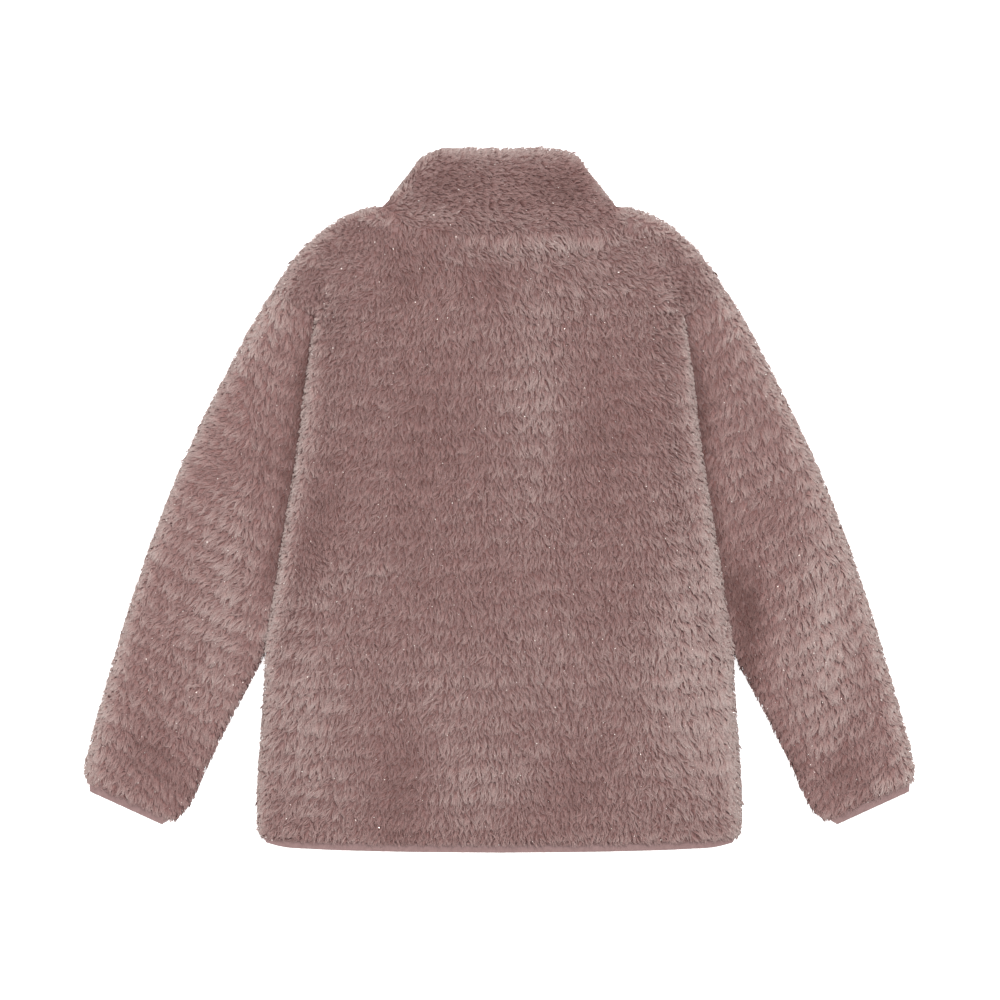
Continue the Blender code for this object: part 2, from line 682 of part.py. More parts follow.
# ---------------------------------------------------------------- zip
def make_bar(name, x_range, up_range, layer, bevel, finish, collection):
    """A bar along the zip, from a cube, with softened edges."""
    low = Vector((x_range[0], up_range[0] - LENGTH / 2, layer.low)) * MM
    high = Vector((x_range[1], up_range[1] - LENGTH / 2, layer.high)) * MM
    shape = bmesh.new()
    bmesh.ops.create_cube(shape, size=1)
    bmesh.ops.scale(shape, vec=high - low, verts=shape.verts)
    mesh = bpy.data.meshes.new(name)
    shape.to_mesh(mesh)
    shape.free()
    made = add_object(name, mesh, finish, collection)
    made.location = (low + high) / 2
    if bevel:
        soften = made.modifiers.new("softened edges", "BEVEL")
        soften.width, soften.segments = bevel * MM, 2
    return made


def outline_object(name, loops, half_thick, finish, collection):
    """A plate from closed outlines in its own XY plane, the first the rim and the others holes."""
    curve = bpy.data.curves.new(name, "CURVE")
    curve.dimensions, curve.fill_mode = "2D", "BOTH"
    curve.extrude = half_thick * MM
    for loop in loops:
        spline = curve.splines.new("POLY")
        spline.points.add(len(loop) - 1)
        for point, (x, y) in zip(spline.points, loop):
            point.co = (x * MM, y * MM, 0, 1)
        spline.use_cyclic_u = True
    return add_object(name, curve, finish, collection)


def arc(centre_x, centre_y, radius, start, end, steps):
    """Points on an arc, with its angles in degrees."""
    angles = np.radians(np.linspace(start, end, steps))
    return [(centre_x + radius * math.cos(a), centre_y + radius * math.sin(a)) for a in angles]


def as_mesh(curve_object, collection):
    """The curve's solid as a mesh object of the same name, its caps welded to its sides."""
    bpy.context.view_layer.update()
    evaluated = curve_object.evaluated_get(bpy.context.evaluated_depsgraph_get())
    mesh = bpy.data.meshes.new_from_object(evaluated)
    shape = bmesh.new()
    shape.from_mesh(mesh)
    bmesh.ops.remove_doubles(shape, verts=shape.verts, dist=0.00001)
    bmesh.ops.recalc_face_normals(shape, faces=shape.faces)
    shape.to_mesh(mesh)
    shape.free()
    made = bpy.data.objects.new(curve_object.name + "_mesh", mesh)
    made.matrix_world = curve_object.matrix_world.copy()
    collection.objects.link(made)
    bpy.data.objects.remove(curve_object)
    return made


TURN_RADIUS = PULL_THICK / 2 * math.sqrt(2) + PULL_CLEARANCE  # room that the turning bar needs
PULL_AXIS = Vector((0, (sum(SLIDER_UP) - LENGTH) / 2, SLIDER.low - TURN_RADIUS)) * MM


def make_slider(finish, collection, helpers):
    """The slider at the top of the closed zip: a block with an arched bail for the pull."""
    slider = make_bar("zip_slider", (-SLIDER_HALF, SLIDER_HALF), SLIDER_UP, SLIDER, 0.5, finish, collection)
    leg, depth = TURN_RADIUS + 1.1, TURN_RADIUS * 2
    foot = 1.0  # how far the bail's legs run into the block
    corner, over = 1.5, depth + BAIL_THICK
    outside = [(-leg - BAIL_THICK, -foot)]
    outside += arc(-leg - BAIL_THICK + corner, over - corner, corner, 180, 90, 4)
    outside += arc(leg + BAIL_THICK - corner, over - corner, corner, 90, 0, 4)
    outside += [(leg + BAIL_THICK, -foot)]
    inside = [(leg, -foot), *arc(leg - 0.9, depth - 0.9, 0.9, 0, 90, 4)]
    inside += [*arc(-leg + 0.9, depth - 0.9, 0.9, 90, 180, 4), (-leg, -foot)]
    arch = outline_object("bail", [outside + inside], 1.1, finish, helpers)
    # The arch is drawn in (along the zip, away from the block) and stood up under the slider.
    stand = Matrix(((0, 0, -1, 0), (1, 0, 0, 0), (0, -1, 0, 0), (0, 0, 0, 1)))
    arch.matrix_world = Matrix.Translation((0, PULL_AXIS.y, SLIDER.low * MM)) @ stand
    bail = as_mesh(arch, helpers)
    bail.hide_render, bail.display_type = True, "WIRE"
    join = slider.modifiers.new("bail", "BOOLEAN")
    join.operation, join.object = "UNION", bail


def make_pull(finish, collection):
    """The pull tab: a plate with a window, whose upper bar turns inside the slider's bail."""
    bar = PULL_THICK / 2
    window_half, window_end = 1.9, -5.2
    rim = [(-2.9, bar), (2.9, bar), (2.9, -6.4)]
    rim += arc(0, -PULL_LENGTH + 3.4, 3.4, 0, -180, 13)
    rim += [(-2.9, -6.4)]
    window = [(-window_half, -bar), (-window_half, window_end), (window_half, window_end), (window_half, -bar)]
    pull = outline_object("zip_pull", [rim, window], PULL_THICK / 2, finish, collection)
    pull.location = PULL_AXIS


def make_zip(collection, helpers):
    tape = material("zip tape", TAPE_ROSE, 0.85)
    plastic = material("zip teeth", CHAIN_ROSE, 0.45)
    metal = material("zip slider", METAL_ROSE, 0.35, 0.6)
    tape_up = (1.0, 593.0)
    near, far = TAPE_HALF
    make_bar("zip_tape_left", (-far, -near), tape_up, TAPE, 0, tape, collection)
    make_bar("zip_tape_right", (near, far), tape_up, TAPE, 0, tape, collection)
    chain_up = (9.0, SLIDER_UP[0] - SEAM)
    make_bar("zip_chain", (-CHAIN_HALF, CHAIN_HALF), chain_up, CHAIN, 0.5, plastic, collection)
    box_layer = Layer(BOX.low, TAPE.low - SEAM)
    make_bar("zip_box", (-BOX_HALF, BOX_HALF), (0.8, 9.0 - SEAM), box_layer, 0.6, plastic, collection)
    make_slider(metal, collection, helpers)
    make_pull(metal, collection)


# ---------------------------------------------------------------- the jacket
def clear_scene():
    for old in list(bpy.data.objects):
        bpy.data.objects.remove(old)


def new_collection(name, hidden=False):
    made = bpy.data.collections.new(name)
    bpy.context.scene.collection.children.link(made)
    made.hide_render = hidden
    return made


def main():
    clear_scene()
    jacket = new_collection("sherpa jacket")
    helpers = new_collection("helpers", hidden=True)
    pile = material("pile fleece", PILE_ROSE, 0.95)
    knit = material("stretch binding", BINDING_ROSE, 0.8)
    make_back(pile, jacket)
    for name, side in (("left", -1), ("right", 1)):
        make_front(f"front_{name}", side, pile, jacket)
        make_sleeve(f"sleeve_{name}", side, pile, jacket)
        make_cuff_binding(f"cuff_binding_{name}", side, knit, jacket)
    make_collar(pile, jacket)
    make_hem_binding(knit, jacket)
    make_zip(jacket, helpers)


main()
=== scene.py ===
# %% [markdown]
# # A child's pile-fleece jacket, laid flat on its front
#
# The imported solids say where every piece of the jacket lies. This lesson gives them their looks:
# a thin ground cloth for each panel, the long wavy pile that is knitted into it, stretch bindings,
# and the front zip underneath. Lengths are in millimetres until a mesh is made, because that is
# how a garment maker writes them; `placed` turns them into metres.

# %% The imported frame
import json
import math
from collections import namedtuple

import bmesh
import bpy
import numpy as np
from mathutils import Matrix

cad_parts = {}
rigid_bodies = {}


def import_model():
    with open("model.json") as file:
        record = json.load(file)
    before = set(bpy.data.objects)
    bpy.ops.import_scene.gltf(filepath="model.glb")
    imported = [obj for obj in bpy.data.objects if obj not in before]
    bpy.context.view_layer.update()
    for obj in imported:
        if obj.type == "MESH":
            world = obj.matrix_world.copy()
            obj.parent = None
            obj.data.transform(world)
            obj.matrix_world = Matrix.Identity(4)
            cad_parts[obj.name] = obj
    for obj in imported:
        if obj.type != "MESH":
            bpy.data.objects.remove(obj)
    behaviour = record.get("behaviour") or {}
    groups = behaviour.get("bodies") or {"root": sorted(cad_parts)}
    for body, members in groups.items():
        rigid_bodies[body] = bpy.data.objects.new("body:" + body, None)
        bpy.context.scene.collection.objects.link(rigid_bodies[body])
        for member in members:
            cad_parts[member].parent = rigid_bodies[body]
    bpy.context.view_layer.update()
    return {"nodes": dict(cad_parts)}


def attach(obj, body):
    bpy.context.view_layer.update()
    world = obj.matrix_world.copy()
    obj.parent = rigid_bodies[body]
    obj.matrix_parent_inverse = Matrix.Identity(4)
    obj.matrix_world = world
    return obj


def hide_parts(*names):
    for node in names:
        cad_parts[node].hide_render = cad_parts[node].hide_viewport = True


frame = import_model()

MM = 0.001
LENGTH = 599.0  # hem binding to the top of the collar
print("nodes:", sorted(frame["nodes"]))

# %% [markdown]
# ## The pattern pieces
#
# A pattern cutter describes a panel by a few points on its edges. Each table gives `up`, the
# distance from the hem binding towards the collar, and `half`, the distance from the centre back.
# The outline was read off the photograph, and both sides share one table, because the jacket is
# cut symmetrically. An armhole point also says how far along the seam it lies, as a share. Points
# that two edges meet in have a name, so that the edges stay together.

# %% Tables of the outline
Station = namedtuple("Station", "up half")
ArmholePoint = namedtuple("ArmholePoint", "along up half")


def edge(*points):
    """An edge table from pairs (up, half)."""
    return tuple(Station(*point) for point in points)


ARMHOLE_TOP = 457.7  # where the armhole seam goes in under the side fold
FOLD_TOP = Station(ARMHOLE_TOP, 156.4)
UNDERARM = Station(310.7, 163.2)
SHOULDER_END = Station(479.0, 192.1)
NECK_POINT = Station(549.0, 99.0)
HEM_CORNER = Station(13.0, 201.5)
NECK_HALF = 99.3
COLLAR_TOP_HALF = 70.0
ZIP_GAP = 6.0  # from the centre line to a front's zip edge

BODY_SIDE = edge(
    HEM_CORNER, (17.0, 204.4), (22.5, 205.7), (39.5, 206.2), (71.8, 205.3), (105.8, 202.7),
    (139.8, 200.3), (167.9, 198.9), (205.3, 193.4), (257.1, 185.7), (310.7, 176.8), (360.0, 169.4),
    (399.9, 164.9), (434.8, 159.6), FOLD_TOP,
)
SHOULDER = edge(
    NECK_POINT, (546.2, 120.0), (536.3, 141.0), (523.8, 157.3), (509.6, 170.9), (493.5, 183.2),
    SHOULDER_END,
)
BACK_TOP = edge((527.4, 0.0), (530.4, 50.0), (538.5, 82.0)) + SHOULDER
FRONT_TOP = edge((486.0, 0.0), (489.5, 30.0), (500.5, 60.0), (523.0, 85.0)) + SHOULDER
COLLAR_EDGE = edge(
    (598.4, 0.0), (598.8, 32.0), (597.0, 54.0), (592.0, 65.0), (586.5, COLLAR_TOP_HALF)
)
HEM_CLOTH = edge((6.8, 0.0), (8.0, 103.0), (9.6, 160.0), (10.6, 181.0), HEM_CORNER)
SLEEVE_OUTER = edge(
    SHOULDER_END, (461.5, 203.3), (428.8, 221.5), (394.8, 239.0), (360.8, 255.7), (326.8, 271.5),
    (292.8, 285.3), (258.8, 298.2), (224.8, 309.8), (190.8, 320.5), (156.8, 330.6), (122.8, 340.3),
    (88.8, 349.4), (71.8, 353.0), (65.0, 352.6), (60.8, 349.8),
)
SLEEVE_INNER = edge(
    UNDERARM, (281.0, 168.3), (243.0, 176.5), (205.0, 187.2), (168.5, 199.6), (139.8, 214.0),
    (105.8, 232.0), (71.8, 249.0), (49.4, 258.5), (37.0, 266.5), (30.0, 273.5), (28.0, 278.0),
)
ARMHOLE = (
    ArmholePoint(0.00, *SHOULDER_END),
    ArmholePoint(0.22, *FOLD_TOP),
    ArmholePoint(0.32, 439.0, 150.2),
    ArmholePoint(0.45, 415.0, 149.5),
    ArmholePoint(0.62, 382.0, 153.0),
    ArmholePoint(0.80, 347.0, 158.0),
    ArmholePoint(1.00, *UNDERARM),
)
print("table points:", len(BODY_SIDE + BACK_TOP + FRONT_TOP + SLEEVE_OUTER + SLEEVE_INNER + ARMHOLE))

# %% [markdown]
# ## Folds
#
# Nobody presses a fleece jacket before it is laid out, so its upper layer carries soft ridges and
# troughs. Each is one row: where its middle lies, which way it runs, how long and wide it is, and
# how high it stands. A fold's height is a bell curve along and across its line, so folds fade into
# each other as cloth does.

# %% Table of folds
Fold = namedtuple("Fold", "name x up turn length width rise")
FOLDS = (
    Fold("collar_shelf", 25, 515, 2, 78, 10, 2.6),
    Fold("collar_shelf_left", -85, 517, 8, 34, 12, -1.8),
    Fold("upper_left_dent", -75, 487, 70, 34, 20, -1.6),
    Fold("upper_mid_dent", -8, 490, 80, 26, 16, -1.5),
    Fold("neck_puff_right", 60, 480, 20, 40, 22, 1.3),
    Fold("spine_ridge", 34, 400, 86, 95, 26, 1.6),
    Fold("right_blade_dent", 100, 365, 80, 62, 34, -2.2),
    Fold("left_waist_dent", -150, 290, 72, 62, 17, -2.6),
    Fold("left_mid_trough", -68, 330, 84, 85, 22, -1.6),
    Fold("left_waist_ridge", -120, 238, 14, 62, 16, 1.9),
    Fold("waist_trough", 5, 232, 3, 110, 24, -1.1),
    Fold("right_flank_ridge", 150, 190, 84, 85, 30, 1.8),
    Fold("left_flank_ridge", -165, 120, 86, 85, 26, 1.6),
    Fold("hem_trough_left", -85, 55, 80, 48, 24, -1.8),
    Fold("hem_puff", -8, 60, 12, 60, 26, 1.5),
    Fold("hem_trough_right", 62, 62, 40, 45, 24, -1.6),
    Fold("left_sleeve_ridge", -223, 240, 82, 78, 17, 2.0),
    Fold("left_sleeve_dent", -190, 345, 76, 55, 17, -2.0),
    Fold("left_elbow_dent", -252, 318, 30, 38, 12, -1.5),
    Fold("left_cuff_dent", -282, 75, 118, 36, 15, -2.4),
    Fold("right_sleeve_ridge", 272, 235, 98, 88, 19, 2.2),
    Fold("right_sleeve_dent", 212, 205, 102, 50, 16, -2.6),
    Fold("right_crease", 222, 292, 28, 34, 9, -1.8),
    Fold("right_cuff_dent", 290, 72, 60, 40, 14, -2.4),
)


def folds(x, up):
    """The summed height of the soft folds: each is a bell curve along and across its own line."""
    total = np.zeros(np.broadcast(x, up).shape)
    for fold in FOLDS:
        turn = math.radians(fold.turn)
        along = (x - fold.x) * math.cos(turn) + (up - fold.up) * math.sin(turn)
        across = (up - fold.up) * math.cos(turn) - (x - fold.x) * math.sin(turn)
        total += fold.rise * np.exp(-((along / fold.length) ** 2) - (across / fold.width) ** 2)
    return total


print(len(FOLDS), "folds, the highest", max(fold.rise for fold in FOLDS), "mm")

# %% [markdown]
# ## Smooth lines through the tables
#
# Straight lines between table points would look like cut card. A cubic through the points, with
# its slopes taken from the neighbouring points, runs as a cutter's curved ruler does.

# %% Helpers for lines
def smooth_line(xs, ys, at):
    """A smooth line through points: each stretch is a cubic, its end slopes from the neighbours."""
    xs, ys, at = (np.asarray(values, float) for values in (xs, ys, at))
    slope = np.gradient(ys, xs)
    i = np.clip(np.searchsorted(xs, at) - 1, 0, len(xs) - 2)
    step = xs[i + 1] - xs[i]
    s = (at - xs[i]) / step
    ends = ys[i] * (1 + 2 * s) * (1 - s) ** 2 + ys[i + 1] * s * s * (3 - 2 * s)
    return ends + step * s * (1 - s) * (slope[i] * (1 - s) - slope[i + 1] * s)


def up_at(stations, half):
    """The height of an edge table at a distance from the centre back."""
    return smooth_line([s.half for s in stations], [s.up for s in stations], np.abs(half))


def half_at(stations, up):
    """The half width of a side table at a height."""
    rising = sorted(stations, key=lambda s: s.up)
    limited = np.clip(up, rising[0].up, rising[-1].up)
    return smooth_line([s.up for s in rising], [s.half for s in rising], limited)


def along_edge(stations, share):
    """Points (half, up) at shares of an edge's own length."""
    corners = np.array([(s.half, s.up) for s in stations])
    lengths = np.r_[0, np.cumsum(np.linalg.norm(np.diff(corners, axis=0), axis=1))]
    at = np.asarray(share) * lengths[-1]
    return np.stack([smooth_line(lengths, corners[:, k], at) for k in (0, 1)], axis=-1)


def ease(t):
    """0 to 1 with level ends: t squared times (3 less 2t)."""
    t = np.clip(t, 0, 1)
    return t * t * (3 - 2 * t)


def rounding(distance, reach):
    """A quarter of an ellipse: 0 at an edge, 1 from `reach` inwards."""
    return np.sqrt(1 - (1 - np.clip(distance / reach, 0, 1)) ** 2)


def crowded(count):
    """Numbers from -1 to 1 that crowd towards both ends, where the cloth turns over its edge."""
    t = np.linspace(-1, 1, count)
    return (3 * t - t**3) / 2


def grid(x, up, height):
    """Points [rows, columns, 3]: the three values side by side, each spread over the whole grid."""
    return np.stack(np.broadcast_arrays(x, up, height), axis=-1)


print("hem at the centre:", up_at(HEM_CLOTH, 0.0), "waist half width:", half_at(BODY_SIDE, 257.1))

# %% [markdown]
# ## One patch for each layer
#
# A layer of pile fleece has two faces: the plain side, and the face that the pile's tips make.
# `Patch` holds both as grids whose points match one for one, so anything between them, such as the
# ground cloth or the root of a lock of pile, is a share of the way from one to the other. It also
# says how free its first row, its last row and its sides are: 1 at an edge that is turned over, 0
# at a bound edge, and less than 0 along a seam, where the seam allowance fills the edge out.

# %% Patch
Patch = namedtuple("Patch", "plain tips first last sides")
BOUND = 0.0
SEWN = -1.2


def turned(height, distance, reach):
    """How far a face has turned over: all of `height` at the edge, none from `reach` inwards."""
    return height * (1 - rounding(distance, reach))


def lying_up(top, turns, lowest):
    """Tips that look up: the top less the root of the summed squares of its turns at the edges."""
    return np.maximum(top - np.sqrt(sum(turn**2 for turn in turns)), lowest)


def lying_down(turns, highest):
    """Tips that rest on the table: the root of the summed squares of their turns at the edges."""
    return np.minimum(np.sqrt(sum(turn**2 for turn in turns)), highest)


print("a turned edge at 0, 3 and 8 mm:", turned(10.0, np.array([0.0, 3.0, 8.0]), 8).round(2))

# %% [markdown]
# ## Plan of a sleeve
#
# A sleeve lies as a flat tube. Its sections run from the outer to the inner edge, and near the
# shoulder they bend into the armhole's curve, as they do when the cap of the sleeve is eased in.

# %% Sleeve plan
SEAM = 0.35  # half the gap that a seam leaves between two panels


def armhole_points(share):
    """The armhole seam at shares across the sleeve: straight where it shows, curved below."""
    knots = np.array([(p.along, p.half, p.up) for p in ARMHOLE])
    below = np.maximum(share, knots[1, 0])
    line = np.stack([smooth_line(knots[1:, 0], knots[1:, k], below) for k in (1, 2)], axis=-1)
    shown = (share / knots[1, 0])[:, None]
    line = np.where(shown < 1, knots[0, 1:] + (knots[1, 1:] - knots[0, 1:]) * shown, line)
    along = (knots[0, 1:] - knots[1, 1:]) / np.linalg.norm(knots[0, 1:] - knots[1, 1:])
    return line + SEAM * np.array([along[1], -along[0]]) * np.clip(2 - shown, 0, 1)


CAP = 0.38  # share of the sleeve's length over which the armhole's curve fades out
INNER_LAG = 1.5  # the inner edge's sections start closer together than the outer edge's


def sleeve_plan(down, share):
    """(half, up) at each section and share: a line from edge to edge plus a share of the armhole."""
    outer = along_edge(SLEEVE_OUTER, down[:, None])
    inner = along_edge(SLEEVE_INNER, down[:, None] ** INNER_LAG)
    chord = outer + (inner - outer) * share[None, :, None]
    return chord + (armhole_points(share) - chord[:1]) * (1 - ease(down / CAP))[:, None, None]


SLEEVE_SHARE = (1 + crowded(41)) / 2
SLEEVE_DOWN = (1 + crowded(91)) / 2
SLEEVE = sleeve_plan(SLEEVE_DOWN, SLEEVE_SHARE)
HIDDEN_EDGE = np.concatenate([SLEEVE[0, SLEEVE_SHARE > ARMHOLE[1].along], SLEEVE[1:, -1]])


def sleeve_line(up):
    """Half width at which the sleeve's hidden edge lies under the body."""
    return np.interp(up, HIDDEN_EDGE[::-1, 1], HIDDEN_EDGE[::-1, 0])


print("sleeve grid:", SLEEVE.shape[:2], "cuff corners:", SLEEVE[-1, [0, -1]].round(1).tolist())

# %% [markdown]
# ## Heights of a sleeve
#
# The tube is two layers, one over the other. Each layer's face turns over the edges as a quarter of
# an ellipse, so that the tube looks soft, and comes down to half the height there. Beside the body
# the sleeve is pressed under the fold, so its crown and its folds start only past that.

# %% Sleeve layers
SLEEVE_TOP = 16.5  # height of the pressed part's upper face
SLEEVE_CROWN = 2.6  # how much the free part stands above that
SLEEVE_MIDDLE = 8.6
HALF_GAP = 0.3  # the two plain sides lie this far above and below the middle
AT_ARMHOLE, SHOWN_MORE = 10.6, 5.8  # upper face at the armhole, and how much higher where it shows
AT_CUFF = 13.4
ARMHOLE_RISE, CUFF_RISE = 5.0, 4.2  # how far the under layer turns up there
CROWN_FROM, CROWN_OVER = 2, 26  # how far past the body's fold the crown starts, and how softly
SHOWN_TO, SHOWN_OVER = 0.17, 0.10  # share of the armhole that lies outside the fold
OUTER_ROUND, INNER_ROUND = 12, 8  # how far in the outer and the inner edge are rounded
FREE_ROUND, ARMHOLE_ROUND = 13, 5  # the same along a free edge and along a seam that shows
CUFF_ROUND = 7
UNDER_ROUNDS = (8, 5, 6)  # the same for the under layer: its sides, the armhole and the cuff


def sleeve_patches(side):
    """The upper and the under layer: top less turns over the edges, and turns up from the table."""
    half, up = SLEEVE[..., 0], SLEEVE[..., 1]
    share = SLEEVE_SHARE[None, :]
    width = np.linalg.norm(SLEEVE[:, -1] - SLEEVE[:, 0], axis=-1)[:, None]
    from_armhole = np.linalg.norm(SLEEVE - SLEEVE[:1], axis=-1)
    to_cuff = np.linalg.norm(SLEEVE - SLEEVE[-1:], axis=-1)
    past_fold = ease((half - half_at(BODY_SIDE, up) - CROWN_FROM) / CROWN_OVER)
    crown = SLEEVE_CROWN * np.sin(np.pi * share) ** 2
    top = SLEEVE_TOP + past_fold * (crown + folds(side * half, up))
    shows = 1 - ease((share - SHOWN_TO) / SHOWN_OVER)
    to_edge = np.minimum(share, 1 - share) * width
    reach = OUTER_ROUND - (OUTER_ROUND - INNER_ROUND) * ease((share - 0.5) / 0.3)
    at_armhole = FREE_ROUND - (FREE_ROUND - ARMHOLE_ROUND) * shows
    turns_down = (
        turned(top - SLEEVE_MIDDLE, to_edge, reach),
        turned(top - AT_ARMHOLE - SHOWN_MORE * shows, from_armhole, at_armhole),
        turned(top - AT_CUFF, to_cuff, CUFF_ROUND),
    )
    turns_up = (
        turned(SLEEVE_MIDDLE, to_edge, UNDER_ROUNDS[0]),
        turned(ARMHOLE_RISE, from_armhole, UNDER_ROUNDS[1]),
        turned(CUFF_RISE, to_cuff, UNDER_ROUNDS[2]),
    )
    layers = (
        (HALF_GAP, lying_up(top, turns_down, SLEEVE_MIDDLE)),
        (-HALF_GAP, lying_down(turns_up, SLEEVE_MIDDLE)),
    )
    x = side * half
    return [
        Patch(grid(x, up, SLEEVE_MIDDLE + gap), grid(x, up, tips), SEWN, BOUND, 1)
        for gap, tips in layers
    ]


SLEEVES = {side: sleeve_patches(side) for side in (-1, 1)}
print("a sleeve's highest tips:", SLEEVES[1][0].tips[..., 2].max().round(1), "mm")

# %% [markdown]
# ## Rows of the body
#
# The back reaches over the sleeves at both sides, where the jacket's own side folds over them. Its
# rows run level across the waist and bend up into the shoulder's line near the top, as the cut
# does, so the pile can later follow them.

# %% Body plan
EDGE_STEPS = np.array([0, 1.2, 4, 8, 14])  # close rows where the cloth turns in at the hem
AFTER_STEPS = 20  # from there on the rows are even
SEAM_SHARES = np.linspace(0, 1, 14)[1:]  # rows from the top of the side fold to the shoulder
FOLLOWS_TOP = 0.72  # share of the shoulder's line that a row has at the top of the side fold
LEVEL_BELOW = 320  # the rows are level up to this height
FOLLOWS_HEM = 70  # height above the hem at which the rows are level


def body_rows(count):
    """Rows of a body panel: side point, and shares of the shoulder's and of the hem's line."""
    first, last = BODY_SIDE[0].up, BODY_SIDE[-1].up
    side_up = np.r_[first + EDGE_STEPS, np.linspace(first + AFTER_STEPS, last, count)]
    side_half = half_at(BODY_SIDE, side_up)
    top_share = FOLLOWS_TOP * ease((side_up - LEVEL_BELOW) / (last - LEVEL_BELOW)) ** 1.3
    side_up = np.r_[side_up, last + SEAM_SHARES * (SHOULDER_END.up - last)]
    side_half = np.r_[side_half, side_half[-1] + SEAM_SHARES * (SHOULDER_END.half - side_half[-1])]
    top_share = np.r_[top_share, FOLLOWS_TOP + (1 - FOLLOWS_TOP) * SEAM_SHARES]
    hem_share = 1 - ease((side_up - first) / FOLLOWS_HEM)
    return side_up[:, None], side_half[:, None], top_share[:, None], hem_share[:, None]


def row_heights(rows, across, top_stations):
    """`up` of every point: level rows, plus shares of the shoulder's line and of the hem's line."""
    side_up, _, top_share, hem_share = rows
    top_line = up_at(top_stations, across * SHOULDER_END.half) - SHOULDER_END.up
    hem_line = up_at(HEM_CLOTH, across * BODY_SIDE[0].half) - BODY_SIDE[0].up
    return side_up + top_share * top_line + hem_share * hem_line


def edge_distances(x, up, side_half, top_stations):
    """How far each point is from the side, from the upper edge (square to its slope) and the hem."""
    top_up = up_at(top_stations, np.minimum(np.abs(x), SHOULDER_END.half))
    slope = up_at(top_stations, np.minimum(np.abs(x) + 1, SHOULDER_END.half)) - top_up
    hem_up = up_at(HEM_CLOTH, np.minimum(np.abs(x), BODY_SIDE[0].half))
    return side_half - np.abs(x), (top_up - up) / np.hypot(1, slope), up - hem_up


print("even rows of the side:", len(body_rows(60)[0]) - len(EDGE_STEPS) - len(SEAM_SHARES))

# %% [markdown]
# The neck seam holds the upper edge down as far as the neck point, and from there to the armhole
# the shoulder is a soft turned edge. Both panels need to know where they are held.

# %% Held and free edges
NECK_ENDS, NECK_EASE = 92, 16  # where the neck seam starts to end, and over how far
SHOULDER_FROM, SHOULDER_EASE = 464, 13  # the same for the armhole's seam, upwards
SHOULDER_FREE = 0.6  # how much freer the seam is at the shoulder


def on_neck_seam(x):
    """1 along the neck seam, 0 along the shoulder's edge, eased over the neck point."""
    return 1 - ease((np.abs(x) - NECK_ENDS) / NECK_EASE)


def free_ends(side_up, on_seam, on_neck):
    """How free a body panel's top and sides are: 1, or `SEWN` along the neck and the armhole."""
    top = 1 + (SEWN - 1) * on_neck[-1:].T
    at_shoulder = ease((side_up - SHOULDER_FROM) / SHOULDER_EASE)
    sides = 1 + (SEWN - 1) * on_seam * (1 - SHOULDER_FREE * at_shoulder)
    return top, sides


print("on the neck seam at 80, 100 and 120 mm:", on_neck_seam(np.array([80, 100, 120])).round(2))

# %% [markdown]
# ## Heights of the back
#
# The back lies pile up on the two fronts. Near each side it rises over the sleeve, and its fold
# stands there as a soft ridge. Its edges turn down to what they lie on: the sleeve, the collar's
# seam, the hem binding, or nothing at the shoulders, where the pile hangs free.

# %% The back
FRONT_INNER = 9.1  # height of the fronts' plain side
BACK_INNER = 9.4  # height of the back's plain side, which lies on them
THINNEST = 0.8
BODY_TOP = 20.0
BACK_ROWS, BACK_COLUMNS = 110, 97
FOLD_RISE = 7.0  # how high the side fold's ridge stands
FOLD_INSIDE, FOLD_WIDTH = 9, 17  # where the ridge lies inside the side, and its width
RIDGE_FROM, RIDGE_TO = (150, 70), (455, 45)  # heights where it starts and ends, and how softly
SLEEVE_LIFT = 8.4  # how much higher the plain side lies over a sleeve
LIFT_FROM, LIFT_OVER = 11, 15  # how far inside the sleeve's edge it starts to rise
ARMHOLE_EASE = 12
NECK_ROUND, HEM_ROUND = 6, 8  # how far in these edges are rounded
ON_ARMHOLE, ON_HEM = 17.2, 13.6  # heights that the tips turn down to
ON_NECK = 10.0  # how much higher than at a free edge they stay along the neck seam


def back_plain(x, up):
    """The back's plain side: it lies on the fronts, and rises over the sleeve under a side fold."""
    over_sleeve = np.abs(x) - sleeve_line(up)
    below_seam = 1 - ease((up - ARMHOLE_TOP) / ARMHOLE_EASE)
    return BACK_INNER + SLEEVE_LIFT * ease((over_sleeve + LIFT_FROM) / LIFT_OVER) * below_seam


def back_patch():
    """The back: a level top + the side folds' ridges + the soft folds, less the turns at its edges."""
    rows = body_rows(BACK_ROWS)
    across = crowded(BACK_COLUMNS)[None, :]
    side_up, side_half = rows[0], rows[1]
    x = across * side_half
    up = row_heights(rows, across, BACK_TOP)
    to_side, to_top, to_hem = edge_distances(x, up, side_half, BACK_TOP)
    plain = back_plain(x, up)
    starts, ends = (ease((up - height) / over) for height, over in (RIDGE_FROM, RIDGE_TO))
    from_ridge = half_at(BODY_SIDE, up) - np.abs(x) - FOLD_INSIDE
    ridge = FOLD_RISE * np.exp(-((from_ridge / FOLD_WIDTH) ** 2))
    top = BODY_TOP + ridge * starts * (1 - ends) + folds(x, up)
    on_seam = ease((side_up - ARMHOLE_TOP + ARMHOLE_EASE / 2) / ARMHOLE_EASE)
    side_edge = np.maximum(back_plain(side_half, side_up) + THINNEST, ON_ARMHOLE * on_seam)
    on_neck = on_neck_seam(x)
    at_top = top - BACK_INNER - THINNEST - ON_NECK * on_neck
    turns = (
        turned(top - side_edge, to_side, FREE_ROUND - (FREE_ROUND - ARMHOLE_ROUND) * on_seam),
        turned(at_top, to_top, FREE_ROUND - (FREE_ROUND - NECK_ROUND) * on_neck),
        turned(top - ON_HEM, to_hem, HEM_ROUND),
    )
    tips = lying_up(top, turns, plain + THINNEST)
    held = free_ends(side_up, on_seam, on_neck)
    return Patch(grid(x, up, plain), grid(x, up, tips), BOUND, *held)


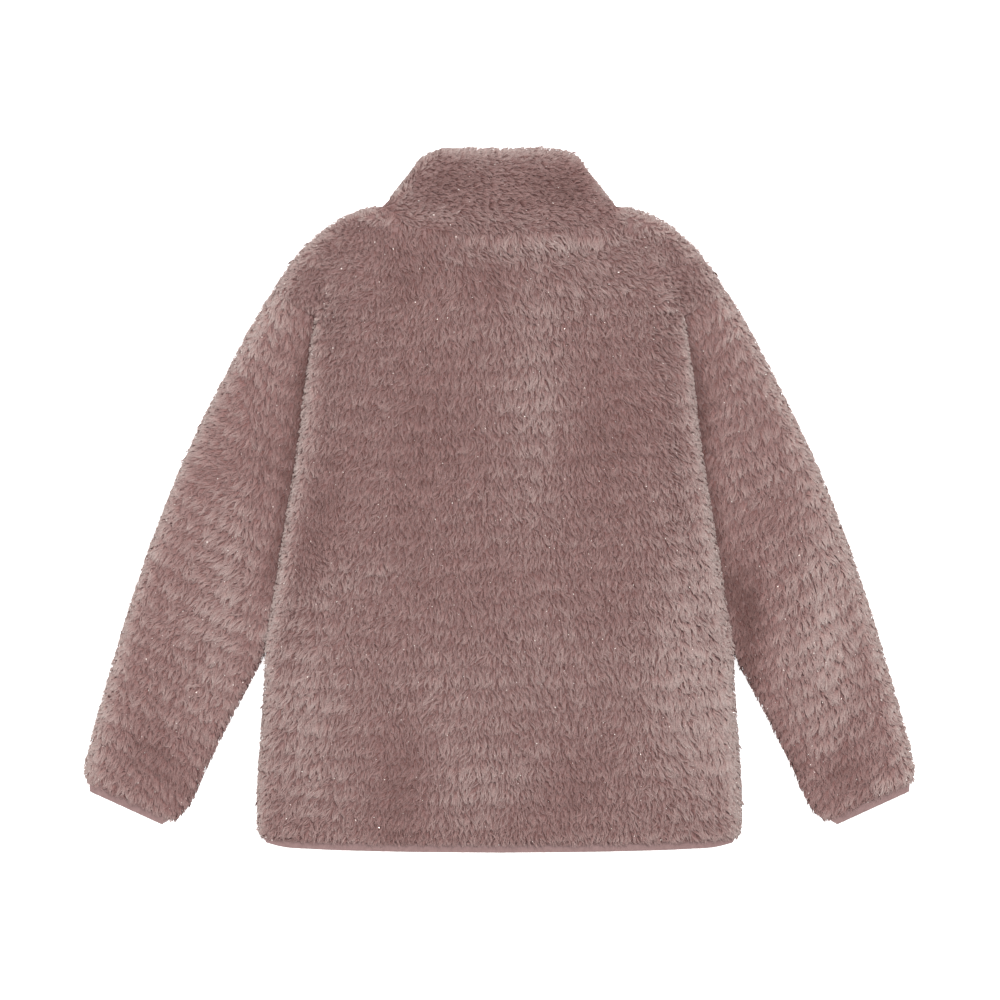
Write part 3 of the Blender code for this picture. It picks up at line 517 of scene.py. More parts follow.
BACK = back_patch()
print("the back's highest tips:", BACK.tips[..., 2].max().round(1), "mm")

# %% [markdown]
# ## Heights of the fronts
#
# Each front lies pile down, so its tips are pressed flat on the table and turn up only at its
# edges: the side, the neck, the hem and the zip. Beside the zip the plain side lies lower, because
# the tape is sewn on there.

# %% The fronts
TAPE_HOLLOW = 1.1  # how much lower the plain side lies along the zip's tape
TAPE_EDGE, HOLLOW_EDGE = 22, 36
FREE_RISE, SEAM_RISE = 8.3, 5.0  # how far a free edge and a seam turn up
BOUND_RISE = 4.6  # the same at the hem and at the zip
FREE_TURN, SEAM_TURN, HEM_TURN, ZIP_TURN = 8, 5, 6, 4  # how far in each edge is rounded
SLEEVE_AWAY = 120  # below this height the sleeve lies clear of the body
SEAM_FROM, SEAM_EASE = 150, 40  # where the side turns up as a seam does, under the sleeve
FRONT_ROWS, FRONT_COLUMNS = 60, 41


def front_plain(x):
    """The fronts' plain side: level, and eased down towards the zip's tape."""
    past_tape = ease((np.abs(x) - TAPE_EDGE) / (HOLLOW_EDGE - TAPE_EDGE))
    return FRONT_INNER - TAPE_HOLLOW * (1 - past_tape)


def front_patch(side):
    """One front, pile down: flat on the surface, turned up at its edges and beside the zip."""
    rows = body_rows(FRONT_ROWS)
    share = (crowded(FRONT_COLUMNS)[None, :] + 1) / 2
    side_up, side_half, _, _ = rows
    tucked = (side_up < ARMHOLE_TOP) & (side_up > SLEEVE_AWAY)
    reach = np.where(tucked, np.minimum(side_half, sleeve_line(side_up) - SEAM), side_half)
    zip_share = ZIP_GAP / reach
    across = zip_share + share * (1 - zip_share)
    x = across * reach
    up = row_heights(rows, across, FRONT_TOP)
    to_side, to_top, to_hem = edge_distances(x, up, reach, FRONT_TOP)
    on_seam = ease((side_up - SEAM_FROM) / SEAM_EASE)
    on_neck = on_neck_seam(x)
    less, nearer = FREE_RISE - SEAM_RISE, FREE_TURN - SEAM_TURN
    turns = (
        turned(FREE_RISE - less * on_seam, to_side, FREE_TURN - nearer * on_seam),
        turned(FREE_RISE - less * on_neck, to_top, FREE_TURN - nearer * on_neck),
        turned(BOUND_RISE, to_hem, HEM_TURN),
        turned(BOUND_RISE, x - ZIP_GAP, ZIP_TURN),
    )
    plain = front_plain(x)
    tips = lying_down(turns, plain - THINNEST)
    held = free_ends(side_up, on_seam, on_neck)
    return Patch(grid(side * x, up, plain), grid(side * x, up, tips), BOUND, *held)


FRONTS = {side: front_patch(side) for side in (-1, 1)}
print("a front's zip edge:", FRONTS[1].plain[:, 0, 0].min(), "mm from the centre line")

# %% [markdown]
# ## Collar
#
# The stand collar is one band that runs from zip to zip. Laid flat, its back half lies over its two
# front halves, and it turns over at both sides.

# %% Collar layers
COLLAR_TOP = 22.0
COLLAR_ROWS, COLLAR_COLUMNS = 31, 61
COLLAR_MIDDLE = (FRONT_INNER + BACK_INNER) / 2
AT_TOP_EDGE, AT_NECK_SEAM = 15.5, 20.6  # heights that the back half turns down to
TOP_RISE, NECK_RISE = 4.0, 5.0  # how far the front halves turn up there
COLLAR_DEPTH = 45  # about the distance from the neck seam to the upper edge
OVER_TURNS, UNDER_TURNS = (12, 10, 8), (8, 8, 6)  # how far in side, upper edge and seam are rounded
NECK_TUCK = 0.3  # how far inside the neck's end a layer's seam ends


def collar_layer(across, rise, stations):
    """Plan (x, up) of a layer: straight lines that rise from the neck seam to the upper edge."""
    half = NECK_HALF + (COLLAR_TOP_HALF - NECK_HALF) * rise
    seam = up_at(stations, across * (NECK_HALF - NECK_TUCK)) + 1.5 * SEAM
    top = up_at(COLLAR_EDGE, across * COLLAR_TOP_HALF)
    return across * half, seam + (top - seam) * rise


def collar_patches():
    """The back layer over the two front layers, which end at the zip; heights as for a sleeve."""
    rise = (1 + crowded(COLLAR_ROWS)[:, None]) / 2
    half = NECK_HALF + (COLLAR_TOP_HALF - NECK_HALF) * rise
    middle = COLLAR_MIDDLE
    across = crowded(COLLAR_COLUMNS)[None, :]
    x, up = collar_layer(across, rise, BACK_TOP)
    to_edge, from_seam = (1 - rise) * COLLAR_DEPTH, rise * COLLAR_DEPTH
    top = COLLAR_TOP + folds(x, up)
    turns_down = (
        turned(top - middle, half * (1 - np.abs(across)), OVER_TURNS[0]),
        turned(top - AT_TOP_EDGE, to_edge, OVER_TURNS[1]),
        turned(top - AT_NECK_SEAM, from_seam, OVER_TURNS[2]),
    )
    over = lying_up(top, turns_down, middle)
    sides = ease(rise / 0.3)
    patches = [Patch(grid(x, up, middle + HALF_GAP), grid(x, up, over), SEWN, 1, sides)]
    gap = 1.02 * ZIP_GAP / half
    beside = gap + (1 - gap) * (1 + crowded(COLLAR_ROWS)[None, :]) / 2
    x, up = collar_layer(beside, rise, FRONT_TOP)
    turns_up = (
        turned(middle, half * (1 - beside), UNDER_TURNS[0]),
        turned(TOP_RISE, to_edge, UNDER_TURNS[1]),
        turned(NECK_RISE, from_seam, UNDER_TURNS[2]),
        turned(BOUND_RISE, x - ZIP_GAP, ZIP_TURN),
    )
    under = lying_down(turns_up, middle)
    for side in (-1, 1):
        faces = [grid(side * x, up, height) for height in (front_plain(x), under)]
        patches.append(Patch(*faces, SEWN, 1, sides))
    return patches


COLLAR = collar_patches()
print("collar layers:", len(COLLAR), "highest tips:", COLLAR[0].tips[..., 2].max().round(1), "mm")

# %% [markdown]
# ## Materials
#
# Pile fleece is dull and soft: its fibres are paler at the tips, where they fan out and catch the
# light, and deeper in the shade near their roots. The strands therefore carry a small map of their
# own, `OFBake`: U is the lock's tone and V runs from root to tip, and the colour is read from it.

# %% Helpers for materials
def new_material(name):
    """A material with its Principled shader, and a helper that adds and links a node."""
    made = bpy.data.materials.new(name)
    made.use_nodes = True
    tree = made.node_tree
    shader = tree.nodes["Principled BSDF"]

    def node(kind, inputs=(), **settings):
        """Adds a node: its settings, then each input as a link from a socket or as a value."""
        added = tree.nodes.new(kind)
        for key, value in settings.items():
            setattr(added, key, value)
        for socket, value in dict(inputs).items():
            if isinstance(value, bpy.types.NodeSocket):
                tree.links.new(value, added.inputs[socket])
            else:
                added.inputs[socket].default_value = value
        return added

    return made, shader, node, tree.links.new


def ramp(node, factor, stops):
    """A colour ramp: stops are (place, (red, green, blue))."""
    made = node("ShaderNodeValToRGB", {"Fac": factor})
    points = made.color_ramp.elements
    points[0].position, points[0].color = stops[0][0], (*stops[0][1], 1)
    points[1].position, points[1].color = stops[-1][0], (*stops[-1][1], 1)
    for place, colour in stops[1:-1]:
        points.new(place).color = (*colour, 1)
    return made.outputs["Color"]


def multiplied(node, link, first, second):
    """Two colours multiplied into one."""
    both = node("ShaderNodeMix", {"Factor": 1.0}, data_type="RGBA", blend_type="MULTIPLY")
    link(first, both.inputs["A"])
    link(second, both.inputs["B"])
    return both.outputs["Result"]


print("materials before this lesson:", len(bpy.data.materials))

# %% Pile strands
ROOT_TO_TIP = [
    (0.0, (0.290, 0.185, 0.175)),
    (0.35, (0.310, 0.227, 0.217)),
    (0.7, (0.335, 0.272, 0.262)),
    (1.0, (0.370, 0.324, 0.313)),
]
DEEP_TO_PALE = [
    (0.0, (0.36, 0.235, 0.222)),
    (0.5, (0.69, 0.512, 0.498)),
    (1.0, (1.0, 0.955, 0.92)),
]
FIBRE_SHADES = [(0.3, (0.84, 0.83, 0.83)), (0.7, (1.16, 1.17, 1.17))]
FIBRE_SCALE = 1000.0  # patches of a shade are about a millimetre long


def pile_material():
    """Dull fibre: colour by V from root to tip, times a tone by U, times a fine noise."""
    made, shader, node, link = new_material("pile strands")
    uv = node("ShaderNodeUVMap", uv_map="OFBake")
    parts = node("ShaderNodeSeparateXYZ", {"Vector": uv.outputs["UV"]})
    along = ramp(node, parts.outputs["Y"], ROOT_TO_TIP)
    tone = ramp(node, parts.outputs["X"], DEEP_TO_PALE)
    lock = multiplied(node, link, along, tone)
    place = node("ShaderNodeTexCoord").outputs["Object"]
    fibres = node("ShaderNodeTexNoise", {"Vector": place, "Scale": FIBRE_SCALE, "Detail": 1.0})
    shades = ramp(node, fibres.outputs["Fac"], FIBRE_SHADES)
    link(multiplied(node, link, lock, shades), shader.inputs["Base Color"])
    shader.inputs["Roughness"].default_value = 0.75
    shader.inputs["Specular IOR Level"].default_value = 0.12
    shader.inputs["Sheen Weight"].default_value = 0.15
    shader.inputs["Sheen Roughness"].default_value = 0.5
    shader.inputs["Sheen Tint"].default_value = (0.85, 0.50, 0.46, 1)
    return made


PILE = pile_material()
print("made:", PILE.name)

# %% [markdown]
# The ground shows only as the deep shade between the locks, so its knit is no more than a fine
# tangle. The metallic yarn is foil: all metal, a little rough, so that its flashes stay small.

# %% Ground knit and foil
GROUND_SHADES = [(0.3, (0.205, 0.116, 0.109)), (0.7, (0.255, 0.151, 0.143))]
TANGLE_SCALE, TANGLE_DEPTH = 420.0, 0.0015


def ground_material():
    """The knitted ground between the roots: deep rose with a fine tangle in colour and relief."""
    made, shader, node, link = new_material("ground knit")
    place = node("ShaderNodeTexCoord").outputs["Object"]
    tangle = node("ShaderNodeTexNoise", {"Vector": place, "Scale": TANGLE_SCALE, "Detail": 4.0})
    link(ramp(node, tangle.outputs["Fac"], GROUND_SHADES), shader.inputs["Base Color"])
    height = {"Height": tangle.outputs["Fac"], "Distance": TANGLE_DEPTH}
    link(node("ShaderNodeBump", height).outputs["Normal"], shader.inputs["Normal"])
    shader.inputs["Roughness"].default_value = 0.9
    return made


def glint_material():
    """The metallic yarn: thin flat foil that flashes where it faces a light."""
    made, shader, _, _ = new_material("metallic yarn")
    shader.inputs["Base Color"].default_value = (0.90, 0.82, 0.77, 1)
    shader.inputs["Metallic"].default_value = 1.0
    shader.inputs["Roughness"].default_value = 0.4
    return made


GROUND = ground_material()
GLINT = glint_material()
print("made:", GROUND.name, "and", GLINT.name)

# %% [markdown]
# ## Meshes from grids
#
# Every piece below is made from whole arrays of points. `placed` moves the origin to the middle of
# the garment and changes millimetres to metres, so that a finished piece's object stays at the
# origin. `shell` closes two matching grids into a thin wall with rims, which a Solidify modifier
# could do too, but then the two faces could not be shaped one by one. With `closed` the columns run
# round a tube, as in a sleeve.

# %% Mesh helpers
def placed(points):
    """Table millimetres (x, up, height) as metres in the frame."""
    return (points - (0, LENGTH / 2, 0)) * MM


def new_piece(name, points, faces, material):
    """A smooth mesh object from an array of points and a list of faces."""
    mesh = bpy.data.meshes.new(name)
    mesh.from_pydata(placed(points), [], faces)
    mesh.materials.append(material)
    mesh.shade_smooth()
    made = bpy.data.objects.new(name, mesh)
    bpy.context.scene.collection.objects.link(made)
    return made


def turned_out(piece):
    """Turns every face of a closed piece outwards."""
    shape = bmesh.new()
    shape.from_mesh(piece.data)
    bmesh.ops.recalc_face_normals(shape, faces=shape.faces)
    shape.to_mesh(piece.data)
    shape.free()
    return piece


def shell(name, near, far, material, closed=False):
    """A thin wall: two matching grids, the second turned over, and strips of faces at their rims.

    With `closed` the first column follows the last one, so the wall runs round a ring.
    """
    rows, columns = near.shape[:2]
    a = np.arange(rows * columns).reshape(rows, columns)
    if closed:
        a = np.concatenate([a, a[:, :1]], axis=1)
    b = a + rows * columns

    def strip(p, q):
        """Faces between two lines of point numbers."""
        return np.stack([p[:-1], p[1:], q[1:], q[:-1]], axis=1)

    strips = [strip(a[r], a[r + 1]) for r in range(rows - 1)]
    strips += [strip(b[r + 1], b[r]) for r in range(rows - 1)]
    strips += [strip(b[0], a[0]), strip(a[-1], b[-1])]
    if not closed:
        strips += [strip(a[:, 0], b[:, 0]), strip(b[:, -1], a[:, -1])]
    points = np.concatenate([near.reshape(-1, 3), far.reshape(-1, 3)])
    return turned_out(new_piece(name, points, np.concatenate(strips).tolist(), material))


print("the tables' origin in the frame:", placed(np.zeros(3)).round(4), "m")

# %% [markdown]
# ## Ground cloth
#
# The pile is knitted into a thin ground. Each panel's ground is a wall about 2 mm thick on the
# plain side of its patch, drawn in a little at the edges, because the turned edge of a fleece is
# all pile. Layers that lie pressed on the surface have their ground lower, as the weight of the
# garment flattens the pile beneath it.

# %% Ground cloth
DRAW_IN = 1.8  # how far a free edge of the ground lies inside the tips
PILE_DEPTH = 2.8
SIDES = {-1: "left", 1: "right"}
LIFTED = (0.03, 0.63)  # shares at which the ground's plain side and its pile side lie
PRESSED = (0.38, 0.62)  # the same, where the layer is under the garment


def drawn_in(points, first, last, by=DRAW_IN):
    """Each point + the row's direction * `by` * (how free the first end is * (1 - share)^4, less
    how free the last end is * share^4), so an end that is sewn moves out instead of in.
    """
    run = points[:, -1:] - points[:, :1]
    width = np.maximum(np.linalg.norm(run[..., :2], axis=-1, keepdims=True), 1e-6)
    share = np.linalg.norm((points - points[:, :1])[..., :2], axis=-1, keepdims=True) / width
    share = np.clip(share, 0, 1)
    way = run / width * np.array([1, 1, 0])
    return points + way * by * (first * (1 - share) ** 4 - last * share**4)


def between(patch, share):
    """The grid at plain side + share * room * (tips - plain side), drawn in at its edges.

    The room is 1 where the layer is thick. Where it is thin the room is what the pile's depth
    leaves, and a quarter at least.
    """
    thick = np.linalg.norm(patch.tips - patch.plain, axis=-1, keepdims=True)
    left_over = 1 - PILE_DEPTH / np.maximum(thick, PILE_DEPTH)
    room = np.clip(left_over / LIFTED[1], 0.25, 1)
    points = patch.plain + (patch.tips - patch.plain) * share * room
    sides = np.broadcast_to(patch.sides, (len(points), 1))[..., None]
    ends = [np.broadcast_to(end, (points.shape[1], 1))[..., None] for end in patch[2:4]]
    points = drawn_in(points, sides, sides)
    return np.swapaxes(drawn_in(np.swapaxes(points, 0, 1), *ends), 0, 1)


def every_second(points):
    """Every second row and column of a grid, and always the last, so that no edge is lost."""
    rows, columns = (np.unique(np.r_[0:count:2, count - 1]) for count in points.shape[:2])
    return points[rows][:, columns]


def ground(name, near, far, closed=False):
    """A panel's ground cloth: the wall between its two faces, which replaces the panel's solid."""
    piece = shell(f"{name}_ground", near, far, GROUND, closed)
    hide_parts(name)
    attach(piece, "root")
    print(name, "ground:", len(piece.data.polygons), "faces")
    return piece


def flat_ground(name, patch, shares):
    """The ground of one flat panel."""
    near, far = (every_second(between(patch, share)) for share in shares[::-1])
    return ground(name, near, far)


grounds = {"back": flat_ground("back", BACK, LIFTED)}

# %% [markdown]
# A front's ground is flat, as the back's is. A sleeve's ground is one tube: its columns run across
# the upper layer and back along the under one. The collar's is one open band. Its columns run from
# the zip, round one side, across the back and round the other side to the zip again.

# %% Ground of the fronts, the tubes and the collar
def ring_ground(name, over, under):
    """The ground of a flattened tube: its upper and its under layer, joined along both edges."""
    faces = []
    for upper, lower in zip(LIFTED[::-1], PRESSED[::-1]):
        top = every_second(between(over, upper))
        bottom = every_second(between(under, lower))
        faces.append(np.concatenate([top, bottom[:, -2:0:-1]], axis=1))
    return ground(name, *faces, closed=True)


def band_ground(name, top, left, right):
    """The ground of a flattened band: left half, back half and right half, open at the zip."""
    faces = []
    for upper, lower in zip(LIFTED[::-1], PRESSED[::-1]):
        over = between(top, upper)
        pair = [between(layer, lower) for layer in (left, right)]
        faces.append(np.concatenate([pair[0][:, :-1], over, pair[1][:, -2::-1]], axis=1))
    return ground(name, *faces)


for side, word in SIDES.items():
    grounds[f"front_{word}"] = flat_ground(f"front_{word}", FRONTS[side], PRESSED)
    grounds[f"sleeve_{word}"] = ring_ground(f"sleeve_{word}", *SLEEVES[side])
grounds["collar"] = band_ground("collar", *COLLAR)

# %% [markdown]
# ## Locks of pile
#
# Long pile does not stand as single hairs. Its fibres cling together into wavy locks, which all lie
# the way the cloth was brushed and fan out where the garment turns over an edge. Each lock starts on
# the ground, rises to the face that the tips make, is combed along that face and waves a little.
# Its strands start apart and close up towards the tip. A strand is a narrow tapered ribbon of three
# steps, which is enough for one wave, and each is turned by its own angle so that some catch more
# light than others. Blender's own hair could be combed too, but it isn't a mesh, and locks from a
# formula can follow the seams. Everything is worked out for all the strands at once.

# %% Even scattering
FIRST_STRIDE = 0.7548776662466927  # one over the plastic number
SECOND_STRIDE = 0.5698402909980532  # the same, squared


def scattered(area, count, offset):
    """`count` places (row, column) on a grid, spread evenly by area.

    A low-discrepancy sequence gives two numbers for each place. The first is looked up in the
    running sum of the rows' areas, the second in the running sum along that row.
    """
    k = np.arange(count)
    first = (offset + k * FIRST_STRIDE) % 1
    second = (0.5 + k * SECOND_STRIDE) % 1
    by_row = np.r_[0, np.cumsum(area.sum(axis=1))]
    row = np.interp(first * by_row[-1], by_row, np.arange(len(by_row)))
    whole = np.minimum(row.astype(int), len(area) - 1)
    running = np.cumsum(np.c_[np.zeros(len(area)), area], axis=1)
    running /= np.maximum(running[:, -1:], 1e-9)
    steps = (running + np.arange(len(area))[:, None]).ravel()
    columns = np.tile(np.arange(running.shape[1], dtype=float), len(area))
    at = np.clip(second, 1e-6, 1 - 1e-6) + whole
    i = np.searchsorted(steps, at)
    part = (at - steps[i - 1]) / np.maximum(steps[i] - steps[i - 1], 1e-12)
    return row, columns[i - 1] + part


def lifted_from(points, row, column):
    """Values of a grid at fractional places, mixed from the four nearest points."""
    r = np.clip(row.astype(int), 0, points.shape[0] - 2)
    c = np.clip(column.astype(int), 0, points.shape[1] - 2)
    a = np.clip(row - r, 0, 1)[:, None]
    b = np.clip(column - c, 0, 1)[:, None]
    near = points[r, c] * (1 - b) + points[r, c + 1] * b
    far = points[r + 1, c] * (1 - b) + points[r + 1, c + 1] * b
    return near * (1 - a) + far * a


print("three places on four equal cells:", scattered(np.ones((2, 2)), 3, 0.5))


# %% Directions and slow noise
def normalised(v):
    """Vectors divided by their own lengths."""
    return v / np.maximum(np.linalg.norm(v, axis=-1, keepdims=True), 1e-9)


def outward(patch):
    """Unit normals of the tips' face: the cross product of its two gradients, away from the cloth."""
    cross = np.cross(np.gradient(patch.tips, axis=0), np.gradient(patch.tips, axis=1))
    way = np.sign(np.sum(cross[..., 2] * (patch.tips - patch.plain)[..., 2]))
    return normalised(cross * way)


def ripple(x, up, size, seed):
    """Smooth noise from about -1 to 1: six plane waves of about that size, in seeded directions.

    Their sum is divided by 2.6, which is a little more than the root of six.
    """
    rng = np.random.default_rng(seed)
    turns, phases = rng.uniform(0, math.tau, 6), rng.uniform(0, math.tau, 6)
    scales = rng.uniform(0.7, 1.5, 6)
    waves = [
        np.sin((x * math.cos(t) + up * math.sin(t)) * math.tau / (size * s) + p)
        for t, p, s in zip(turns, phases, scales)
    ]
    return sum(waves) / 2.6


print("the back's normal in its middle:", outward(BACK)[60, 48].round(3))

# %% [markdown]
# ### Which way the pile lies
#
# The angle is in degrees from +X. On the body the pile runs down and fans outwards towards the side
# folds, on the sleeves it hangs along the sleeve, and on the collar it lies across. Hands and the
# table have brushed it another way here and there, and each such place is one row of a table.

# %% Combing
def bell(x, up, place):
    """1 at a row's own place, falling off as a bell curve over its `wide` and its `high`."""
    return np.exp(-(((x - place.x) / place.wide) ** 2) - ((up - place.up) / place.high) ** 2)


Stroke = namedtuple("Stroke", "x up wide high turn")
STROKES = (
    Stroke(-152, 508, 42, 24, -40),
    Stroke(-105, 508, 26, 18, -20),
    Stroke(-25, 508, 52, 20, 36),
    Stroke(70, 506, 48, 26, 44),
    Stroke(145, 498, 40, 30, 34),
    Stroke(15, 470, 40, 22, 16),
    Stroke(146, 395, 24, 66, 26),
    Stroke(102, 372, 24, 44, 10),
    Stroke(102, 250, 22, 34, -16),
    Stroke(104, 100, 24, 84, -20),
    Stroke(20, 150, 22, 120, 10),
    Stroke(-70, 70, 40, 60, -8),
    Stroke(-154, 262, 15, 44, 48),
    Stroke(190, 350, 20, 110, -18),
    Stroke(-205, 350, 16, 120, 22),
    Stroke(-240, 345, 26, 60, -62),
    Stroke(-245, 225, 50, 80, -30),
    Stroke(-215, 180, 20, 40, -20),
    Stroke(232, 270, 22, 60, -20),
    Stroke(262, 370, 30, 60, 12),
    Stroke(305, 70, 40, 50, -18),
    Stroke(-75, 560, 30, 60, 24),
    Stroke(-22, 541, 26, 20, -16),
    Stroke(60, 545, 24, 16, 12),
)


def brushed(x, up):
    """Degrees by which the strokes turn the pile: a bell curve for each, summed."""
    return sum(s.turn * bell(x, up, s) for s in STROKES)


print(len(STROKES), "strokes")


# %% Rows of the cloth
ROW = 19.6  # the knitting machine's repeat, which lets the pile stand a little higher in bands
SLEEVE_SLANT = math.radians(29)
SLEEVE_STRETCH = 1.14


def body_course(x, up):
    """Distance along the cloth of the body, from the hem upwards; its rows sag a little."""
    return up - 14.3 + 3.5 * np.exp(-(((x + 90) / 55) ** 2)) - 0.00015 * x**2


def sleeve_course(x, up):
    """Distance along a sleeve, which slants away from the body, stretched to the same repeat."""
    down = up * math.cos(SLEEVE_SLANT) - np.abs(x) * math.sin(SLEEVE_SLANT)
    return down * SLEEVE_STRETCH


print("rows of the cloth up the back:", int(LENGTH / ROW))


# %% Angles of the pile
def body_comb(x, up):
    """Straight down, fanned out by 0.11 degrees a mm, + the strokes + ripples that grow upwards."""
    swirl = 9 * ripple(x, up, 60, 3) + 13 * ripple(x, up, 18, 5)
    curl = 1 + 0.8 * ease((up - 430) / 90)
    return -91 + 0.11 * x + brushed(x, up) + curl * swirl


def sleeve_comb(x, up):
    """Down, and 14 degrees outwards on either side, + the strokes + two ripples."""
    swirl = 9 * ripple(x, up, 55, 7) + 13 * ripple(x, up, 19, 11)
    return -93 + np.sign(x) * 14 + brushed(x, up) + swirl


def collar_comb(x, up):
    """Across to the right, 40 degrees further down over the neck seam, + strokes + two ripples."""
    over_seam = 1 - ease((up - up_at(BACK_TOP, x)) / 15)
    swirl = 9 * ripple(x, up, 50, 13) + 12 * ripple(x, up, 17, 17)
    return -12 - 40 * over_seam + brushed(x, up) + swirl


print("pile at the centre back lies at", float(body_comb(0.0, 300.0)), "degrees")

# %% [markdown]
# ### Painted light and shade
#
# Pile that leans towards the eye shows the shade between its fibres, and pile that leans away shows
# its pale sides, and the folds throw shade and catch light as well. Where that is plain to see it is
# painted into the locks' tone as the rows of one more table: painted shade where a row's tone is
# below 0, painted light where it is above.

# %% Painted light and shade
PaintedPatch = namedtuple("PaintedPatch", "x up wide high tone")
# Painted light and shade on the pile: place, width, height, and how much paler (above 0) or deeper
# (below 0)
PAINTED_PATCHES = (
    PaintedPatch(190, 145, 46, 125, 0.24),
    PaintedPatch(0, 100, 230, 90, 0.05),
    PaintedPatch(-200, 100, 12, 120, -0.10),
    PaintedPatch(154, 385, 10, 85, 0.06),
    PaintedPatch(-158, 395, 8, 90, 0.06),
    PaintedPatch(-180, 140, 34, 95, 0.07),
    PaintedPatch(40, 392, 18, 70, 0.05),
    PaintedPatch(-70, 335, 60, 105, -0.06),
    PaintedPatch(-84, 60, 22, 45, -0.14),
    PaintedPatch(56, 60, 30, 42, -0.10),
    PaintedPatch(0, 155, 45, 50, 0.06),
    PaintedPatch(-157, 262, 20, 46, -0.05),
    PaintedPatch(-84, 490, 15, 20, -0.12),
    PaintedPatch(-12, 486, 13, 18, -0.12),
    PaintedPatch(150, 495, 12, 14, -0.05),
    PaintedPatch(-120, 531, 30, 12, -0.18),
    PaintedPatch(52, 565, 34, 15, -0.22),
    PaintedPatch(-46, 571, 20, 12, -0.12),
    PaintedPatch(-68, 542, 26, 9, 0.16),
    PaintedPatch(5, 537, 70, 8, 0.10),
    PaintedPatch(45, 523, 52, 6, 0.08),
    PaintedPatch(-233, 240, 14, 75, 0.01),
    PaintedPatch(-165, 420, 8, 60, -0.10),
    PaintedPatch(-301, 87, 18, 25, -0.14),
    PaintedPatch(-196, 455, 26, 34, 0.09),
    PaintedPatch(190, 462, 26, 34, 0.08),
    PaintedPatch(179, 400, 10, 70, -0.14),
    PaintedPatch(207, 212, 19, 46, -0.52),
    PaintedPatch(209, 172, 13, 36, -0.34),
    PaintedPatch(216, 140, 11, 22, -0.27),
    PaintedPatch(234, 106, 11, 24, -0.27),
    PaintedPatch(250, 74, 11, 20, -0.24),
    PaintedPatch(-180, 434, 16, 12, -0.14),
    PaintedPatch(-152, 482, 6, 22, -0.08),
    PaintedPatch(-141, 478, 8, 28, 0.12),
    PaintedPatch(150, 482, 6, 22, -0.07),
    PaintedPatch(139, 478, 8, 28, 0.12),
    PaintedPatch(281, 172, 24, 80, 0.13),
    PaintedPatch(247, 274, 13, 25, -0.08),
    PaintedPatch(294, 70, 20, 16, -0.16),
    PaintedPatch(330, 60, 12, 12, 0.20),
)


def painted_light_and_shade(x, up):
    """How much painted light or painted shade a place gets: a bell curve for each row, summed."""
    return sum(n.tone * bell(x, up, n) for n in PAINTED_PATCHES)


print(len(PAINTED_PATCHES), "rows of nap")

# %% [markdown]
# ### Where the locks stand
#
# Locks are knitted in evenly, so their places are spread by area. Along an edge that is turned over
# the pile opens and shows more of its tips, so the locks stand closer there. How a panel is brushed
# is one row of settings: the angle of its pile, its course of rows, a lock's length and wave, its
# number of strands, where the roots lie, the panel's tone, the room that a lock has before it stands
# out too far, how strong the bands and the relief are, how freely the pile opens, and how broad a
# strand is.

# %% Places of the locks
RIM = 10.5  # how far in the pile still opens and shows its pale tips, and how far in a rim's painted sheen reaches
Brushing = namedtuple(
    "Brushing",
    "comb course length wave strands root_share tone room bands relief free broad",
)
Locks = namedtuple("Locks", "x up face root normal away opened rows tone pale relief")


def rims(patch):
    """1 along the free edges, falling off as a bell curve of the distance from them."""
    flat = patch.tips[..., :2]
    sides = np.broadcast_to(patch.sides, (len(flat), 1))
    first, last = (np.broadcast_to(end, (flat.shape[1], 1)).T for end in patch[2:4])
    lines = ((flat[:, :1], sides), (flat[:, -1:], sides), (flat[:1], first), (flat[-1:], last))
    bells = [
        np.maximum(free, 0) * np.exp(-((np.linalg.norm(flat - line, axis=-1) / RIM) ** 2))
        for line, free in lines
    ]
    return np.minimum(sum(bells), 1)[..., None]


def cell_areas(points):
    """The area of each cell of a grid: half the length of the cross product of its diagonals."""
    cross = np.cross(points[1:, 1:] - points[:-1, :-1], points[1:, :-1] - points[:-1, 1:])
    return np.linalg.norm(cross, axis=-1) / 2


def lock_places(patch, brushing, area_each, seed, shown):
    """Point on the tips' face, root, normal and openness of each lock, spread evenly by area."""
    centre = (patch.tips[1:, 1:] + patch.tips[:-1, :-1]) / 2
    rim = rims(patch)
    area = cell_areas(patch.tips) * shown(centre[..., 0], centre[..., 1])
    area *= 1 + 0.8 * rim[1:, 1:, 0]
    row, column = scattered(area, int(area.sum() / area_each), 0.5 + 0.137 * seed)
    face = lifted_from(patch.tips, row, column)
    root = lifted_from(between(patch, brushing.root_share), row, column)
    normal = normalised(lifted_from(outward(patch), row, column))
    return face, root, normal, brushing.free * lifted_from(rim, row, column)[:, 0]


print("share of the back that opens as a rim:", rims(BACK).mean().round(3))

# %% [markdown]
# ### Tone of the locks
#
# A lock's tone is a sum of what makes pile look paler or deeper, and much of it is painted light and
# shade: a painted sheen where the pile opens at a rim, the table's painted light and shade, and a
# little painted light on the folds' ridges and painted shade in their troughs. Where the tone is pale
# the pile lies pressed over: its roots are hidden, its locks are longer, flatter and better combed,
# and there is less shade between the strands. `pale` says how much, from 0 to 0.66.

# %% Tone of the locks
PALE_FROM = 0.57  # the tone from which a lock lies pressed over


def cloth_rows(brushing, x, up):
    """The knitted rows as a wave: a cosine of the course, and 0.35 of its double."""
    phase = math.tau * (brushing.course(x, up) + 3 * ripple(x, up, 130, 23)) / ROW
    return np.cos(phase) + 0.35 * np.cos(2 * phase + 0.8)


